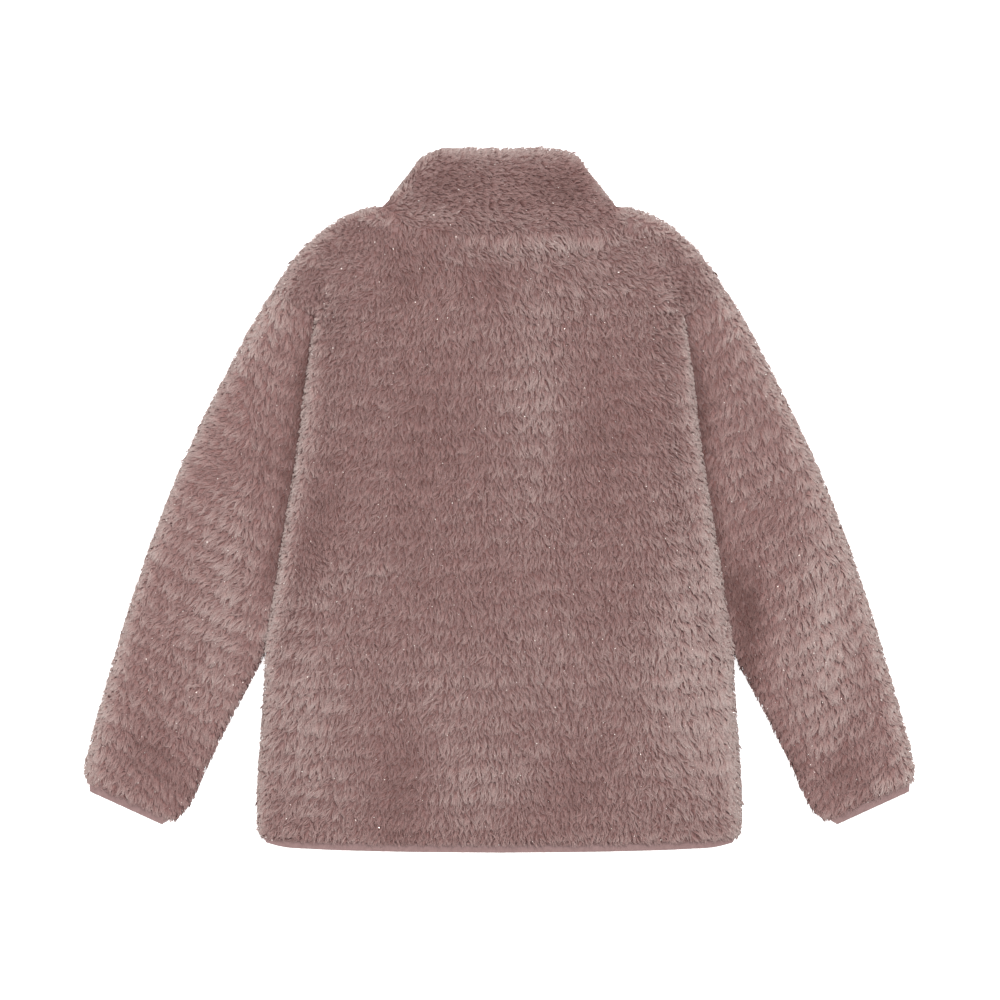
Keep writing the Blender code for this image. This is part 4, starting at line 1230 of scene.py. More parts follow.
def lock_tone(brushing, x, up, opened, rows):
    """The panel's tone + 0.47 of the openness as a painted sheen at rims + the painted light and shade
    + a little of the folds' height as painted light and shade, + ripples and rows.
    """
    # painted sheen: a lock is paler by 0.47 of how far the pile opens at a rim
    tone = brushing.tone(x, up) + 0.47 * opened
    # painted light and shade: the table's rows, and 0.07 of the folds' height, paler on ridges and
    # deeper in troughs
    tone += brushing.free * (painted_light_and_shade(x, up) + 0.07 * folds(x, up))
    tone += 0.03 * ripple(x, up, 90, 29) + 0.03 * ripple(x, up, 26, 31)
    return tone + brushing.bands * rows


def locks_of(patch, brushing, area_each, seed, shown):
    """All that is known of the locks before they are combed."""
    face, root, normal, opened = lock_places(patch, brushing, area_each, seed, shown)
    x, up = face[:, 0], face[:, 1]
    rows = cloth_rows(brushing, x, up)
    tone = lock_tone(brushing, x, up, opened, rows)
    pale = 2 * np.clip(tone - PALE_FROM, 0, 0.33)
    relief = brushing.relief * (1 - pale)
    root = root + (face - root) * (0.8 * pale)[:, None]
    away = normalised(normal * (1, 1, 0))
    face = face - away * (0.3 * opened**2)[:, None]
    return Locks(x, up, face, root, normal, away, opened, rows, tone, pale, relief)


print("tone at the right flank:", round(0.51 + float(painted_light_and_shade(190.0, 145.0)), 2))

# %% [markdown]
# ### The line of a lock
#
# First comes the direction in which the lock is combed, then its length, and then its middle line.
# Random numbers are drawn in a fixed order from one seeded source, so every run gives the same pile.

# %% Lines of the locks
ALONG = np.array([0.0, 0.36, 0.7, 1.0])  # where a strand's points lie, from root to tip
JITTER = 16  # degrees by which neighbouring locks differ
SHORTEST = 3


def combed(locks, brushing, rng):
    """Unit vectors along and across each lock, and how far it is turned out at a rim.

    Along: cosine and sine of the combed angle, mixed with the way out of the garment where the lock
    opens, less most of the part that points out of the cloth. Across: normal x along.
    """
    jitter = JITTER * (1 - 0.8 * locks.pale * (1 - locks.opened))
    angle = np.radians(brushing.comb(locks.x, locks.up) + jitter * rng.normal(0, 1, len(jitter)))
    comb = np.stack([np.cos(angle), np.sin(angle), np.zeros(len(angle))], axis=-1)
    against = np.maximum(-np.sum(comb * locks.away, axis=-1), 0)
    turn_out = (locks.opened * (0.35 + 0.6 * against))[:, None]
    comb = normalised(comb * (1 - turn_out) + locks.away * turn_out)
    laid = 0.8 - 0.2 * locks.opened[:, None]
    comb -= laid * locks.normal * np.sum(comb * locks.normal, axis=-1, keepdims=True)
    return comb, normalised(np.cross(locks.normal, comb)), turn_out[:, 0]


def lock_lengths(locks, brushing, turn_out, rng):
    """The brushing's length, more on a row and where pale, less over an edge, within the room."""
    count = len(locks.x)
    length = brushing.length * (1 + 0.06 * locks.rows) * rng.uniform(0.75, 1.2, count)
    length *= 1 + 0.8 * locks.pale * (1 - locks.opened)
    over_edge = 1 - np.abs(locks.normal[:, 2])
    length *= (1 - 0.55 * over_edge) * (1 - 0.5 * turn_out)
    length *= 1 - locks.opened * rng.uniform(0.0, 0.5, count)
    room = np.maximum(brushing.room(locks.x, locks.up), SHORTEST)
    return np.clip(length, SHORTEST, room)


def lock_middles(locks, brushing, comb, side, length, rng):
    """Middle lines [locks, steps, 3]: root + rise * (face - root) + comb * length * t^1.25 +
    across * wave - normal * sink * t^2, where the rise is 1 - (1 - t)^1.9.
    """
    t, count = ALONG, len(length)
    rise = 1 - (1 - t) ** 1.9
    phase, turns = rng.uniform(0, math.tau, count), rng.uniform(0.7, 1.25, count)
    size = brushing.wave * rng.uniform(0.5, 1.2, count)
    wave = np.sin(phase[:, None] + math.tau * turns[:, None] * t) - np.sin(phase)[:, None]
    wave *= size[:, None] * np.sqrt(t)
    sink = rng.uniform(0.0, 1.1, count) * locks.relief
    return (
        locks.root[:, None]
        + (locks.face - locks.root)[:, None] * rise[None, :, None]
        + comb[:, None] * (length[:, None] * t**1.25)[..., None]
        + side[:, None] * wave[..., None]
        - locks.normal[:, None] * (sink[:, None] * t**2)[..., None]
    )


print("a strand's points lie at", ALONG, "of its length")

# %% [markdown]
# ### Strands of a lock
#
# A lock's strands start within 2.1 mm of its middle and close up to less than half of that at the
# tip. Some lie lower than others, and about one in six lies in the shade of its neighbours. That
# gives the small darker slits between the locks. Where the pile lies pressed over, `relief` takes
# these differences away and the strands are broader.

# %% Strands of the locks
WIDTHS = np.array([0.6, 0.74, 0.56, 0.0])  # a strand's width at each of its points
SPREAD = 2.1
CLOSING = 0.55  # how much of its spread a lock has lost at the tip
ROLL = 0.55  # radians by which a strand is turned about its own line, at most
IN_SHADE = 0.18  # share of the strands that lie in the shade
CLEARANCE = 0.2  # lowest height of a strand above the table


def strand_lines(locks, brushing, comb, side, middle, rng):
    """Points [locks, strands, steps, 3], and which strands lie in the shade.

    Each is the middle + its offset * (1 - CLOSING * t^0.8) + normal * how low it lies * t + its own
    small turns to the sides.
    """
    each = (len(middle), brushing.strands)
    t = ALONG
    radius = SPREAD * np.sqrt(rng.uniform(0, 1, each))
    way = rng.uniform(0, math.tau, each)
    closing = 1 - CLOSING * t**0.8
    apart = (
        side[:, None] * (radius * np.cos(way))[..., None]
        + comb[:, None] * (radius * np.sin(way))[..., None]
    )
    shaded = rng.uniform(0, 1, each) < IN_SHADE * (1 - 0.8 * locks.opened[:, None])
    low = (rng.uniform(-0.85, 0.35, each) - 0.35 * shaded) * locks.relief[:, None]
    own = rng.normal(0, 0.6, (*each, len(t))) * t
    points = (
        middle[:, None]
        + apart[:, :, None] * closing[None, None, :, None]
        + locks.normal[:, None, None] * (low[..., None] * t)[..., None]
        + side[:, None, None] * own[..., None]
    )
    return points, shaded


def strand_widths(locks, brushing, side, rng):
    """Vectors across each strand, turned about it by its roll; their length makes it broader."""
    roll = brushing.free * rng.uniform(-ROLL, ROLL, (len(side), brushing.strands))
    across = (
        side[:, None] * np.cos(roll)[..., None] + locks.normal[:, None] * np.sin(roll)[..., None]
    )
    return across * (brushing.broad * (1 + 0.55 * locks.pale)[:, None, None])


def strand_tones(locks, shaded, rng):
    """The lock's tone + a small random part + the strand's own, deeper where it lies in the shade."""
    tone = locks.tone + 0.03 + rng.normal(0, 0.03, len(shaded))
    spread = rng.normal(0, 0.07, shaded.shape) - 0.36 * shaded
    return np.clip(tone[:, None] + spread * locks.relief[:, None], 0.03, 0.97)


print("a lock's tip is", round(2 * SPREAD * (1 - CLOSING), 2), "mm across")


# %% All strands of a patch
def lock_strands(patch, brushing, area_each, seed, shown):
    """Points, vectors across and tones of every strand, as arrays [locks, strands, ...]."""
    rng = np.random.default_rng(seed)
    locks = locks_of(patch, brushing, area_each, seed, shown)
    comb, side, turn_out = combed(locks, brushing, rng)
    length = lock_lengths(locks, brushing, turn_out, rng)
    middle = lock_middles(locks, brushing, comb, side, length, rng)
    points, shaded = strand_lines(locks, brushing, comb, side, middle, rng)
    across = strand_widths(locks, brushing, side, rng)
    lowest = CLEARANCE + WIDTHS.max() / 2 * np.abs(across[..., 2:])
    points[..., 2] = np.maximum(points[..., 2], lowest)
    return points, across, strand_tones(locks, shaded, rng)


print("points of a strand:", len(WIDTHS))

# %% [markdown]
# ### Ribbons
#
# A ribbon is two points at each step and one at the tip, so a strand is five triangles. The corners
# and faces of all ribbons repeat one pattern and go into the mesh as whole arrays. The map `OFBake`
# gets the strand's tone as U and the place from root to tip as V.

# %% Ribbons
TONE_WIDTH = 0.012  # half of what a ribbon spans in U, so that its map has an area


def ribbon_faces(steps):
    """Corner numbers of one ribbon's faces: a quad for each step, and a triangle at the tip."""
    quads = [[2 * k, 2 * k + 2, 2 * k + 3, 2 * k + 1] for k in range(steps - 1)]
    return np.array(sum(quads, []) + [2 * steps - 2, 2 * steps, 2 * steps - 1])


def ribbon_mesh(name, vertices, steps):
    """A mesh of equal ribbons [ribbons, corners, 3], and the corner numbers of its face corners."""
    count, each = vertices.shape[:2]
    pattern = ribbon_faces(steps)
    loops = (np.arange(count)[:, None] * each + pattern).ravel()
    starts = (np.arange(count)[:, None] * len(pattern) + 4 * np.arange(steps)).ravel()
    mesh = bpy.data.meshes.new(name)
    mesh.vertices.add(count * each)
    mesh.vertices.foreach_set("co", placed(vertices.reshape(-1, 3)).astype(np.float32).ravel())
    mesh.loops.add(len(loops))
    mesh.loops.foreach_set("vertex_index", loops.astype(np.int32))
    mesh.polygons.add(len(starts))
    mesh.polygons.foreach_set("loop_start", starts.astype(np.int32))
    mesh.update(calc_edges=True)
    return mesh, pattern


def ribbons(name, points, across, tone, widths, material):
    """Tapered ribbons through the points [ribbons, steps, 3]: pairs of points, and one at the tip."""
    half = across[:, None] * widths[None, :-1, None] / 2
    left, right = points[:, :-1] - half, points[:, :-1] + half
    pairs = np.stack([left, right], axis=2).reshape(len(points), -1, 3)
    vertices = np.concatenate([pairs, points[:, -1:]], axis=1)
    steps = len(widths) - 1
    mesh, pattern = ribbon_mesh(name, vertices, steps)
    u = tone[:, None] + np.array([-TONE_WIDTH, TONE_WIDTH] * steps + [0.0])
    v = np.broadcast_to([*np.repeat(ALONG[:-1], 2), 1.0], u.shape)
    layer = mesh.uv_layers.new(name="OFBake")
    uv = np.stack([u, v], axis=-1)[:, pattern]
    layer.data.foreach_set("uv", uv.astype(np.float32).ravel())
    mesh.materials.append(material)
    mesh.shade_smooth()
    made = bpy.data.objects.new(name, mesh)
    bpy.context.scene.collection.objects.link(made)
    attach(made, "root")
    print(name, len(points), "ribbons,", (2 * steps - 1) * len(points), "triangles")
    return made


# %% Pile of a panel
def everywhere(x, up):
    """1 at every place: the whole panel has pile."""
    return np.ones_like(x)


def pile(name, patch, brushing, area_each, seed, parts=1, shown=everywhere):
    """The pile of one patch as one or more pieces, each a stretch of the panel from hem to collar."""
    points, across, tone = lock_strands(patch, brushing, area_each, seed, shown)
    order = np.argsort(points[:, 0, 0, 1], kind="stable")
    made = []
    for k, chosen in enumerate(np.array_split(order, parts)):
        label = name if parts == 1 else f"{name}_{k + 1}"
        flat = points[chosen].reshape(-1, len(ALONG), 3)
        sideways = across[chosen].reshape(-1, 3)
        made.append(ribbons(label, flat, sideways, tone[chosen].ravel(), WIDTHS, PILE))
    return made


print("face corners of a strand:", len(ribbon_faces(len(ALONG) - 1)))

# %% [markdown]
# ### How each panel is brushed
#
# The body, the sleeves and the collar have the same pile, brushed another way. The tone of a sleeve
# is deeper beside the body's fold and along its inner edge near the cuff, where less light comes
# in. A lock's room ends a little past the binding, or past the collar's side.

# %% Tones of the panels
def body_tone(x, up):
    """The same tone everywhere: the table of painted light and shade makes the differences."""
    return np.full_like(x, 0.51)


def sleeve_tone(x, up):
    """0.53, less a bell curve of the distance past the body's fold, and less one of the distance
    from the inner edge low down.
    """
    past_fold = np.maximum(np.abs(x) - half_at(BODY_SIDE, up), 0)
    beside = ease((up - 190) / 40) * (1 - 0.75 * ease((up - 405) / 45))
    from_inner = np.abs(x) - half_at(SLEEVE_INNER, up)
    lower = 1 - ease((up - 150) / 60)
    shaded = 0.42 * beside * np.exp(-((past_fold / 10) ** 2))
    return 0.53 - shaded - 0.52 * lower * np.exp(-((from_inner / 13) ** 2))


def collar_tone(x, up):
    """The same everywhere, and deeper than the body: painted shade, standing in for pile that lies
    across there.
    """
    return np.full_like(x, 0.45)


print("sleeve tone from the fold outwards:", sleeve_tone(np.array([185.0, 200, 230]), 300.0).round(2))

# %% Room of the locks
OVERHANG = 4.2  # how far the pile hangs over a binding
COLLAR_OVERHANG = 2.2  # how far it stands out past the collar's side


def above_hem(x, up):
    """How far a lock can run down before it hangs over the hem binding's middle."""
    return up - up_at(HEM_CLOTH, np.minimum(np.abs(x), BODY_SIDE[0].half)) + OVERHANG


def above_cuff(x, up):
    """The same for a cuff: the distance from the line between the cuff's two ends."""
    outer, inner = SLEEVE[-1, 0], SLEEVE[-1, -1]
    along = (outer - inner) / np.linalg.norm(outer - inner)
    return (np.abs(x) - inner[0]) * -along[1] + (up - inner[1]) * along[0] + OVERHANG


def inside_collar(x, up):
    """How far a lock can run across before it stands out past the collar's own outline."""
    outline = (Station(NECK_POINT.up, NECK_HALF), *COLLAR_EDGE[::-1])
    half = np.interp(up, [s.up for s in outline[:-1]], [s.half for s in outline[:-1]])
    return half - x + COLLAR_OVERHANG


print("room at the centre back, 40 mm up:", round(float(above_hem(0.0, 40.0)), 1), "mm")

# %% Settings for brushing
BODY = Brushing(
    comb=body_comb,
    course=body_course,
    length=8.2,
    wave=1.15,
    strands=5,
    root_share=LIFTED[1],
    tone=body_tone,
    room=above_hem,
    bands=0.046,
    relief=0.88,
    free=1,
    broad=1,
)
ARM = BODY._replace(
    comb=sleeve_comb,
    course=sleeve_course,
    length=8.8,
    wave=1.1,
    root_share=0.74,
    tone=sleeve_tone,
    room=above_cuff,
    bands=0.085,
    relief=0.5,
)
NECK = BODY._replace(
    comb=collar_comb, wave=1.1, tone=collar_tone, room=inside_collar, bands=0.02, relief=0.8
)
LAID_UNDER = {
    "strands": 3,
    "root_share": PRESSED[1],
    "wave": 0.9,
    "length": 12.0,
    "free": 0.15,
    "broad": 2.3,
}
print("a lock of the body:", BODY.strands, "strands,", BODY.length, "mm")

# %% [markdown]
# ### Pile on every panel
#
# The upper side has a lock for every 11 square millimetres. The layers underneath lie pressed on the
# table, so theirs are fewer, longer and broader. A sleeve needs no pile under the body's fold, and
# the collar's hidden side has none beside the zip, so that the pull tab swings clear of it.

# %% Where the pile is left out
UNDER_FOLD_EDGE = 12  # how far a sleeve's pile goes on under the body's fold
PULL_ROOM = 17  # free width on either side of the zip at the collar


def out_of_fold(x, up):
    """1 where a sleeve shows beside the body's fold, or lies just inside it."""
    return (np.abs(x) > half_at(BODY_SIDE, up) - UNDER_FOLD_EDGE) * 1.0


def beside_pull(x, up):
    """1 where a lock of the collar's hidden side can't reach the pull tab, however that swings."""
    return (np.abs(x) > PULL_ROOM) * 1.0


print("pile 10 and 20 mm beside the pull:", beside_pull(np.array([10.0, 20.0]), 560.0))

# %% Pile on the panels
AREA_EACH = 11.0  # square millimetres for one lock
AREA_UNDER = 56.0
CROWDED_COLLAR = 0.8  # the collar's locks stand closer
SEEDS = {"left": 2, "right": 3}  # of the sleeves; 4 and 8 more for what lies under

tufts = {"back": pile("back_pile", BACK, BODY, AREA_EACH, 1, parts=3)}
for side, word in SIDES.items():
    over, under = SLEEVES[side]
    seed = SEEDS[word]
    arm_under, body_under = ARM._replace(**LAID_UNDER), BODY._replace(**LAID_UNDER)
    sleeve, front = f"sleeve_{word}", f"front_{word}"
    tufts[sleeve] = pile(f"{sleeve}_pile", over, ARM, AREA_EACH, seed, shown=out_of_fold)
    tufts[sleeve] += pile(f"{sleeve}_under_pile", under, arm_under, AREA_UNDER, seed + 4)
    tufts[front] = pile(f"{front}_pile", FRONTS[side], body_under, AREA_UNDER, seed + 8)

# %% Pile on the collar
neck_under = NECK._replace(**LAID_UNDER)
tufts["collar"] = pile("collar_pile", COLLAR[0], NECK, AREA_EACH * CROWDED_COLLAR, 12)
for word, layer, seed in (("left", COLLAR[1], 13), ("right", COLLAR[2], 14)):
    name = f"collar_under_pile_{word}"
    tufts["collar"] += pile(name, layer, neck_under, AREA_UNDER, seed, shown=beside_pull)

# %% [markdown]
# ## Metallic yarn
#
# Short bits of foil yarn are knitted in with the pile. They show as bright specks, in loose
# clusters, near the tips. Each is a short narrow ribbon of bright metal, turned by its own angle.
# A fleck is placed on a lock of its own, so it lies as the pile around it does.

# %% Metallic yarn
FLECK_WIDTHS = np.array([0.26, 0.42, 0.34, 0.0])
CLUSTER, KEPT_FROM = 34, 0.45  # size of the clusters, and how high a ripple keeps its flecks
TOWARDS_LIGHT = np.array([0.08, 0.13, 1.0])


def metallic(name, patch, brushing, area_each, seed, shown=everywhere):
    """Flecks: short ribbons about the third point of single strands, kept where a ripple is high.

    Each faces the light, turned by a random angle, and runs as its strand does.
    """
    single = brushing._replace(strands=1)
    points, _, tone = lock_strands(patch, single, area_each, seed, shown)
    points, tone = points[:, 0], tone[:, 0]
    rng = np.random.default_rng(seed)
    crowding = ripple(points[:, 0, 0], points[:, 0, 1], CLUSTER, seed)
    chosen = crowding + rng.normal(0, 0.5, len(points)) > KEPT_FROM
    points, tone = points[chosen], tone[chosen]
    facing = normalised(TOWARDS_LIGHT + rng.normal(0, 0.24, (len(points), 3)) * (1, 1, 0))
    run = points[:, 2] - points[:, 1]
    run = normalised(run - facing * np.sum(run * facing, axis=-1, keepdims=True))
    size = rng.uniform(0.45, 0.95, len(points))[:, None, None]
    steps = points[:, 2:3] + run[:, None] * size * (ALONG[None, :, None] - 0.5)
    steps[..., 2] += rng.uniform(0.0, 0.9, len(points))[:, None]
    return ribbons(name, steps, np.cross(facing, run), tone, FLECK_WIDTHS, GLINT)


print("a fleck is", FLECK_WIDTHS.max(), "mm wide")

# %% Yarn on the panels that show
AREA_FLECK = 125.0
tufts["back"].append(metallic("back_yarn", BACK, BODY, AREA_FLECK, 31))
for side, word in SIDES.items():
    name, over = f"sleeve_{word}_yarn", SLEEVES[side][0]
    made = metallic(name, over, ARM, AREA_FLECK, 32 + side, out_of_fold)
    tufts[f"sleeve_{word}"].append(made)
tufts["collar"].append(metallic("collar_yarn", COLLAR[0], NECK, AREA_FLECK, 35))
for name, pieces in tufts.items():
    print(name, "soft pieces:", [piece.name for piece in pieces])

# %% [markdown]
# ## Stretch bindings
#
# A knitted strap is folded over the raw edge at the hem and at each cuff. It is stretched while it
# is sewn, so it draws the edge in and puckers a little. Its wall is worked out like the cloth's:
# rows run down the strap to its rounded lip, and columns run round the garment.

# %% A strap's own form
STRAP = 7.0  # depth of a strap past the cloth's edge
STRAP_ROWS = np.array([-0.36, -0.1, 0.15, 0.4, 0.62, 0.78, 0.89, 0.96, 1.0])[:, None]
STRAP_OVER, STRAP_MIDDLE, STRAP_UNDER = 11.4, 8.95, 6.5  # heights of its layers and its lip
STRAP_FACES = ((1, 0.0), (-1, 3.0))  # outer and inner face, and how far each lies inside the side
LIP = 1.5
PUCKERS = (4.3, 6.9, 11.3)
CUFF_COLUMNS, HEM_COLUMNS, FRONT_HEM_COLUMNS = 61, 301, 141


def puckers(along, seed):
    """Small uneven waves along a strap: the sum of three sines, each 0.1 mm high."""
    rng = np.random.default_rng(seed)
    waves = [np.sin(along * math.tau / size + rng.uniform(0, math.tau)) for size in PUCKERS]
    return 0.10 * sum(waves)


def strap_height(layer, way, face, from_lip, to_side, wave):
    """Height of a strap's face: its layer's middle, half a wall out or in, closing at both sides."""
    wall = LIP * rounding(from_lip + 0.05, LIP)
    puffed = (0.5 + 0.5 * face) * wave * rounding(from_lip, 3)
    turn = rounding(to_side, 4)
    return STRAP_MIDDLE + (layer + way * (face * wall + puffed) - STRAP_MIDDLE) * turn


print("puckers, from", puckers(np.arange(200.0), 9).min().round(2), "mm")


# %% Cuffs
def cuff_strap(side):
    """Outer and inner grid of a cuff: the sleeve's corner + a place along it + a reach outwards."""
    outer_end, inner_end = SLEEVE[-1, 0], SLEEVE[-1, -1]
    width = np.linalg.norm(outer_end - inner_end)
    along = (outer_end - inner_end) / width
    out = np.array([along[1], -along[0]])
    reach = SEAM + STRAP * STRAP_ROWS
    drawn = 3 + 3 * ease(reach / STRAP) ** 2
    faces = []
    for face, inset in STRAP_FACES:
        first, last = drawn + inset, width - 0.7 * drawn - inset
        place = first + (1 + crowded(CUFF_COLUMNS)) / 2 * (last - first)
        wave = puckers(place, 5)
        flat = inner_end + place[..., None] * along + (reach - 0.4 * wave)[..., None] * out
        to_side = np.minimum(place - first, last - place)
        layers = [
            strap_height(layer, way, face, SEAM + STRAP - reach, to_side, wave)
            for layer, way in ((STRAP_OVER, 1), (STRAP_UNDER, -1))
        ]
        over, under = (grid(side * flat[..., 0], flat[..., 1], height) for height in layers)
        faces.append(np.concatenate([over, under[:, -2:0:-1]], axis=1))
    return faces


print("cuff strap grid:", cuff_strap(1)[0].shape[:2])

# %% Hem
HEM_LIP = edge((0.0, 0.0), (1.2, 103.0), (3.2, 160.0), (5.0, 184.0), (8.6, 198.5))


def hem_layer(x, layer, way, face, to_side):
    """One layer of the hem strap: a share of the way from the cloth's edge down to the lip."""
    high = up_at(HEM_CLOTH, x) - SEAM
    low = up_at(HEM_LIP, np.minimum(np.abs(x), HEM_LIP[-1].half))
    wave = puckers(x, 9)
    up = high + (low - high) * STRAP_ROWS + 0.25 * wave * STRAP_ROWS
    from_lip = (high - low) * (1 - STRAP_ROWS)
    return grid(x, up, strap_height(layer, way, face, from_lip, to_side, wave))


def hem_strap():
    """Outer and inner grid of the hem: from the zip, round one side, the back and the other side."""
    half = HEM_LIP[-1].half + 2 * (1 - STRAP_ROWS)
    faces = []
    for face, inset in STRAP_FACES:
        reach = half - inset
        across = crowded(HEM_COLUMNS)[None, :] * reach
        over = hem_layer(across, STRAP_OVER, 1, face, reach - np.abs(across))
        gap = 1.05 * ZIP_GAP
        beside = gap + (1 + crowded(FRONT_HEM_COLUMNS)[None, :]) / 2 * (reach - gap)
        left, right = (
            hem_layer(side * beside, STRAP_UNDER, -1, face, reach - beside) for side in (-1, 1)
        )
        faces.append(np.concatenate([left[:, :-1], over, right[:, -2::-1]], axis=1))
    return faces


print("hem strap grid:", hem_strap()[0].shape[:2])

# %% [markdown]
# The strap's knit has fine ribs that run across it. They are a wave in the material's relief, and a
# cuff's pattern is turned with the cuff.

# %% Knit of the bindings
KNIT_SHADES = [(0.3, (0.205, 0.129, 0.124)), (0.7, (0.246, 0.157, 0.151))]
KNIT_SCALE = 240.0
RIB_DEPTH = 0.0002
BAND = math.tau / 20  # a wave texture's bands repeat after this much of its own unit


def strap_material(name, turn):
    """Dull stretch knit: ribs 1.3 mm apart, turned in the plane, and a faint cloud in the colour."""
    made, shader, node, link = new_material(name)
    place = node("ShaderNodeTexCoord").outputs["Object"]
    turned = node("ShaderNodeMapping", {"Vector": place, "Rotation": (0, 0, turn)})
    wave = {"Vector": turned.outputs["Vector"], "Scale": KNIT_SCALE, "Distortion": 0.6, "Detail": 1.0}
    ribs = node("ShaderNodeTexWave", wave)
    cloud = node("ShaderNodeTexNoise", {"Vector": place, "Scale": KNIT_SCALE, "Detail": 3.0})
    colour = ramp(node, cloud.outputs["Fac"], KNIT_SHADES)
    relief = node("ShaderNodeBump", {"Height": ribs.outputs["Fac"], "Distance": RIB_DEPTH})
    link(colour, shader.inputs["Base Color"])
    link(relief.outputs["Normal"], shader.inputs["Normal"])
    shader.inputs["Roughness"].default_value = 0.8
    shader.inputs["Specular IOR Level"].default_value = 0.2
    shader.inputs["Sheen Weight"].default_value = 0.1
    return made


print("the ribs lie", round(BAND / KNIT_SCALE / MM, 2), "mm apart")

# %% Bindings
def strap(node_name, faces, material, closed):
    """A binding's wall, which replaces its solid."""
    piece = shell(f"{node_name}_strap", *faces, material, closed)
    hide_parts(node_name)
    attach(piece, "root")
    print(piece.name, len(piece.data.polygons), "faces")
    return piece


tufts["back"].append(strap("hem_binding", hem_strap(), strap_material("hem knit", 0.0), False))
CUFF_SLANT = math.atan2(*(SLEEVE[-1, 0] - SLEEVE[-1, -1])[::-1])
for side, word in SIDES.items():
    knit = strap_material(f"{word} cuff knit", -side * CUFF_SLANT)
    tufts[f"sleeve_{word}"].append(strap(f"cuff_binding_{word}", cuff_strap(side), knit, True))

# %% [markdown]
# ## Front zip
#
# The zip is underneath. Its moulded teeth grip the tapes' edges, and their heads lock behind each
# other in the middle. One tooth is a small outline carried through three levels; all of them are
# the same points, moved and mirrored as one array. An Array modifier would do it too, but the
# mirrored row is half a pitch further on, which one array of places says more plainly.

# %% Zip teeth
TOOTH = np.array(
    [(3.9, -0.5), (1.2, -0.5), (0.5, -0.38), (-0.1, -0.62), (-1.0, -0.3)]
    + [(-1.0, 0.3), (-0.1, 0.62), (0.5, 0.38), (1.2, 0.5), (3.9, 0.5)]
)
TOOTH_LEVELS = ((8.9, 1.0), (7.4, 1.0), (7.0, 0.78))  # height, and how much of the outline is left
PITCH = 2.5
FIRST_TOOTH, PAST_LAST_TOOTH = 10.2, 581.8


def tooth_faces():
    """Faces of one tooth: quads between neighbouring levels, and a cap at each end."""
    count = len(TOOTH)
    ring = np.arange(count)
    following = (ring + 1) % count
    walls = [
        np.stack([ring, following, following + count, ring + count], axis=1) + k * count
        for k in range(len(TOOTH_LEVELS) - 1)
    ]
    last_ring = (len(TOOTH_LEVELS) - 1) * count
    return np.concatenate(walls).tolist() + [ring[::-1].tolist(), (ring + last_ring).tolist()]


def zip_teeth():
    """Points and faces of all the teeth: outline x level, moved up by the pitch on both sides."""
    middle = TOOTH.mean(axis=0)
    levels = [grid(*(middle + (TOOTH - middle) * size).T, height) for height, size in TOOTH_LEVELS]
    tooth = np.concatenate(levels)
    places = np.arange(FIRST_TOOTH, PAST_LAST_TOOTH, PITCH)
    sides = []
    for side, shift in ((1, 0.0), (-1, PITCH / 2)):
        moves = np.stack([0 * places, places + shift, 0 * places], axis=-1)
        sides.append((tooth * (side, 1, 1))[None] + moves[:, None])
    points = np.concatenate(sides).reshape(-1, 3)
    faces = tooth_faces()
    starts = np.arange(len(points) // len(tooth)) * len(tooth)
    return points, [[start + corner for corner in face] for start in starts for face in faces]


print("teeth on a side:", len(np.arange(FIRST_TOOTH, PAST_LAST_TOOTH, PITCH)))

# %% Moulded and plated finishes
def smooth_material(name, colour, metallic, roughness, speckle):
    """A plain finish: its roughness varies a little, as moulded or plated parts do."""
    made, shader, node, link = new_material(name)
    place = node("ShaderNodeTexCoord").outputs["Object"]
    cloud = node("ShaderNodeTexNoise", {"Vector": place, "Scale": 900.0, "Detail": 2.0})
    spread = node("ShaderNodeMapRange", {"Value": cloud.outputs["Fac"]})
    spread.inputs["To Min"].default_value = roughness - speckle
    spread.inputs["To Max"].default_value = roughness + speckle
    link(spread.outputs["Result"], shader.inputs["Roughness"])
    shader.inputs["Base Color"].default_value = (*colour, 1)
    shader.inputs["Metallic"].default_value = metallic
    return made


MOULDED = smooth_material("moulded teeth", (0.300, 0.180, 0.172), 0.0, 0.42, 0.08)
PLATED = smooth_material("rose plating", (0.560, 0.390, 0.350), 1.0, 0.30, 0.08)
print("made:", MOULDED.name, "and", PLATED.name)

# %% Teeth in the scene
teeth = turned_out(new_piece("zip_teeth", *zip_teeth(), MOULDED))
teeth.data.shade_flat()
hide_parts("zip_chain")
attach(teeth, "root")
print("zip teeth:", len(teeth.data.polygons), "faces")

# %% [markdown]
# The tapes, the stop, the slider and its pull keep their solids, which already have the true shape.
# They get a woven tape and a plated metal.

# %% Zip finishes
TAPE_SHADES = [(0.0, (0.200, 0.105, 0.099)), (1.0, (0.290, 0.165, 0.158))]
TAPE_SCALE, TAPE_DEPTH = 420.0, 0.0002


def tape_material():
    """Woven tape: a fine wave along it and one across it, multiplied into small humps."""
    made, shader, node, link = new_material("woven tape")
    place = node("ShaderNodeTexCoord").outputs["Object"]
    waves = [
        node("ShaderNodeTexWave", {"Vector": place, "Scale": TAPE_SCALE}, bands_direction=way)
        for way in ("X", "Y")
    ]
    humps = node("ShaderNodeMath", operation="MULTIPLY")
    for k, wave in enumerate(waves):
        link(wave.outputs["Fac"], humps.inputs[k])
    colour = ramp(node, humps.outputs["Value"], TAPE_SHADES)
    relief = node("ShaderNodeBump", {"Height": humps.outputs["Value"], "Distance": TAPE_DEPTH})
    link(colour, shader.inputs["Base Color"])
    link(relief.outputs["Normal"], shader.inputs["Normal"])
    shader.inputs["Roughness"].default_value = 0.75
    return made


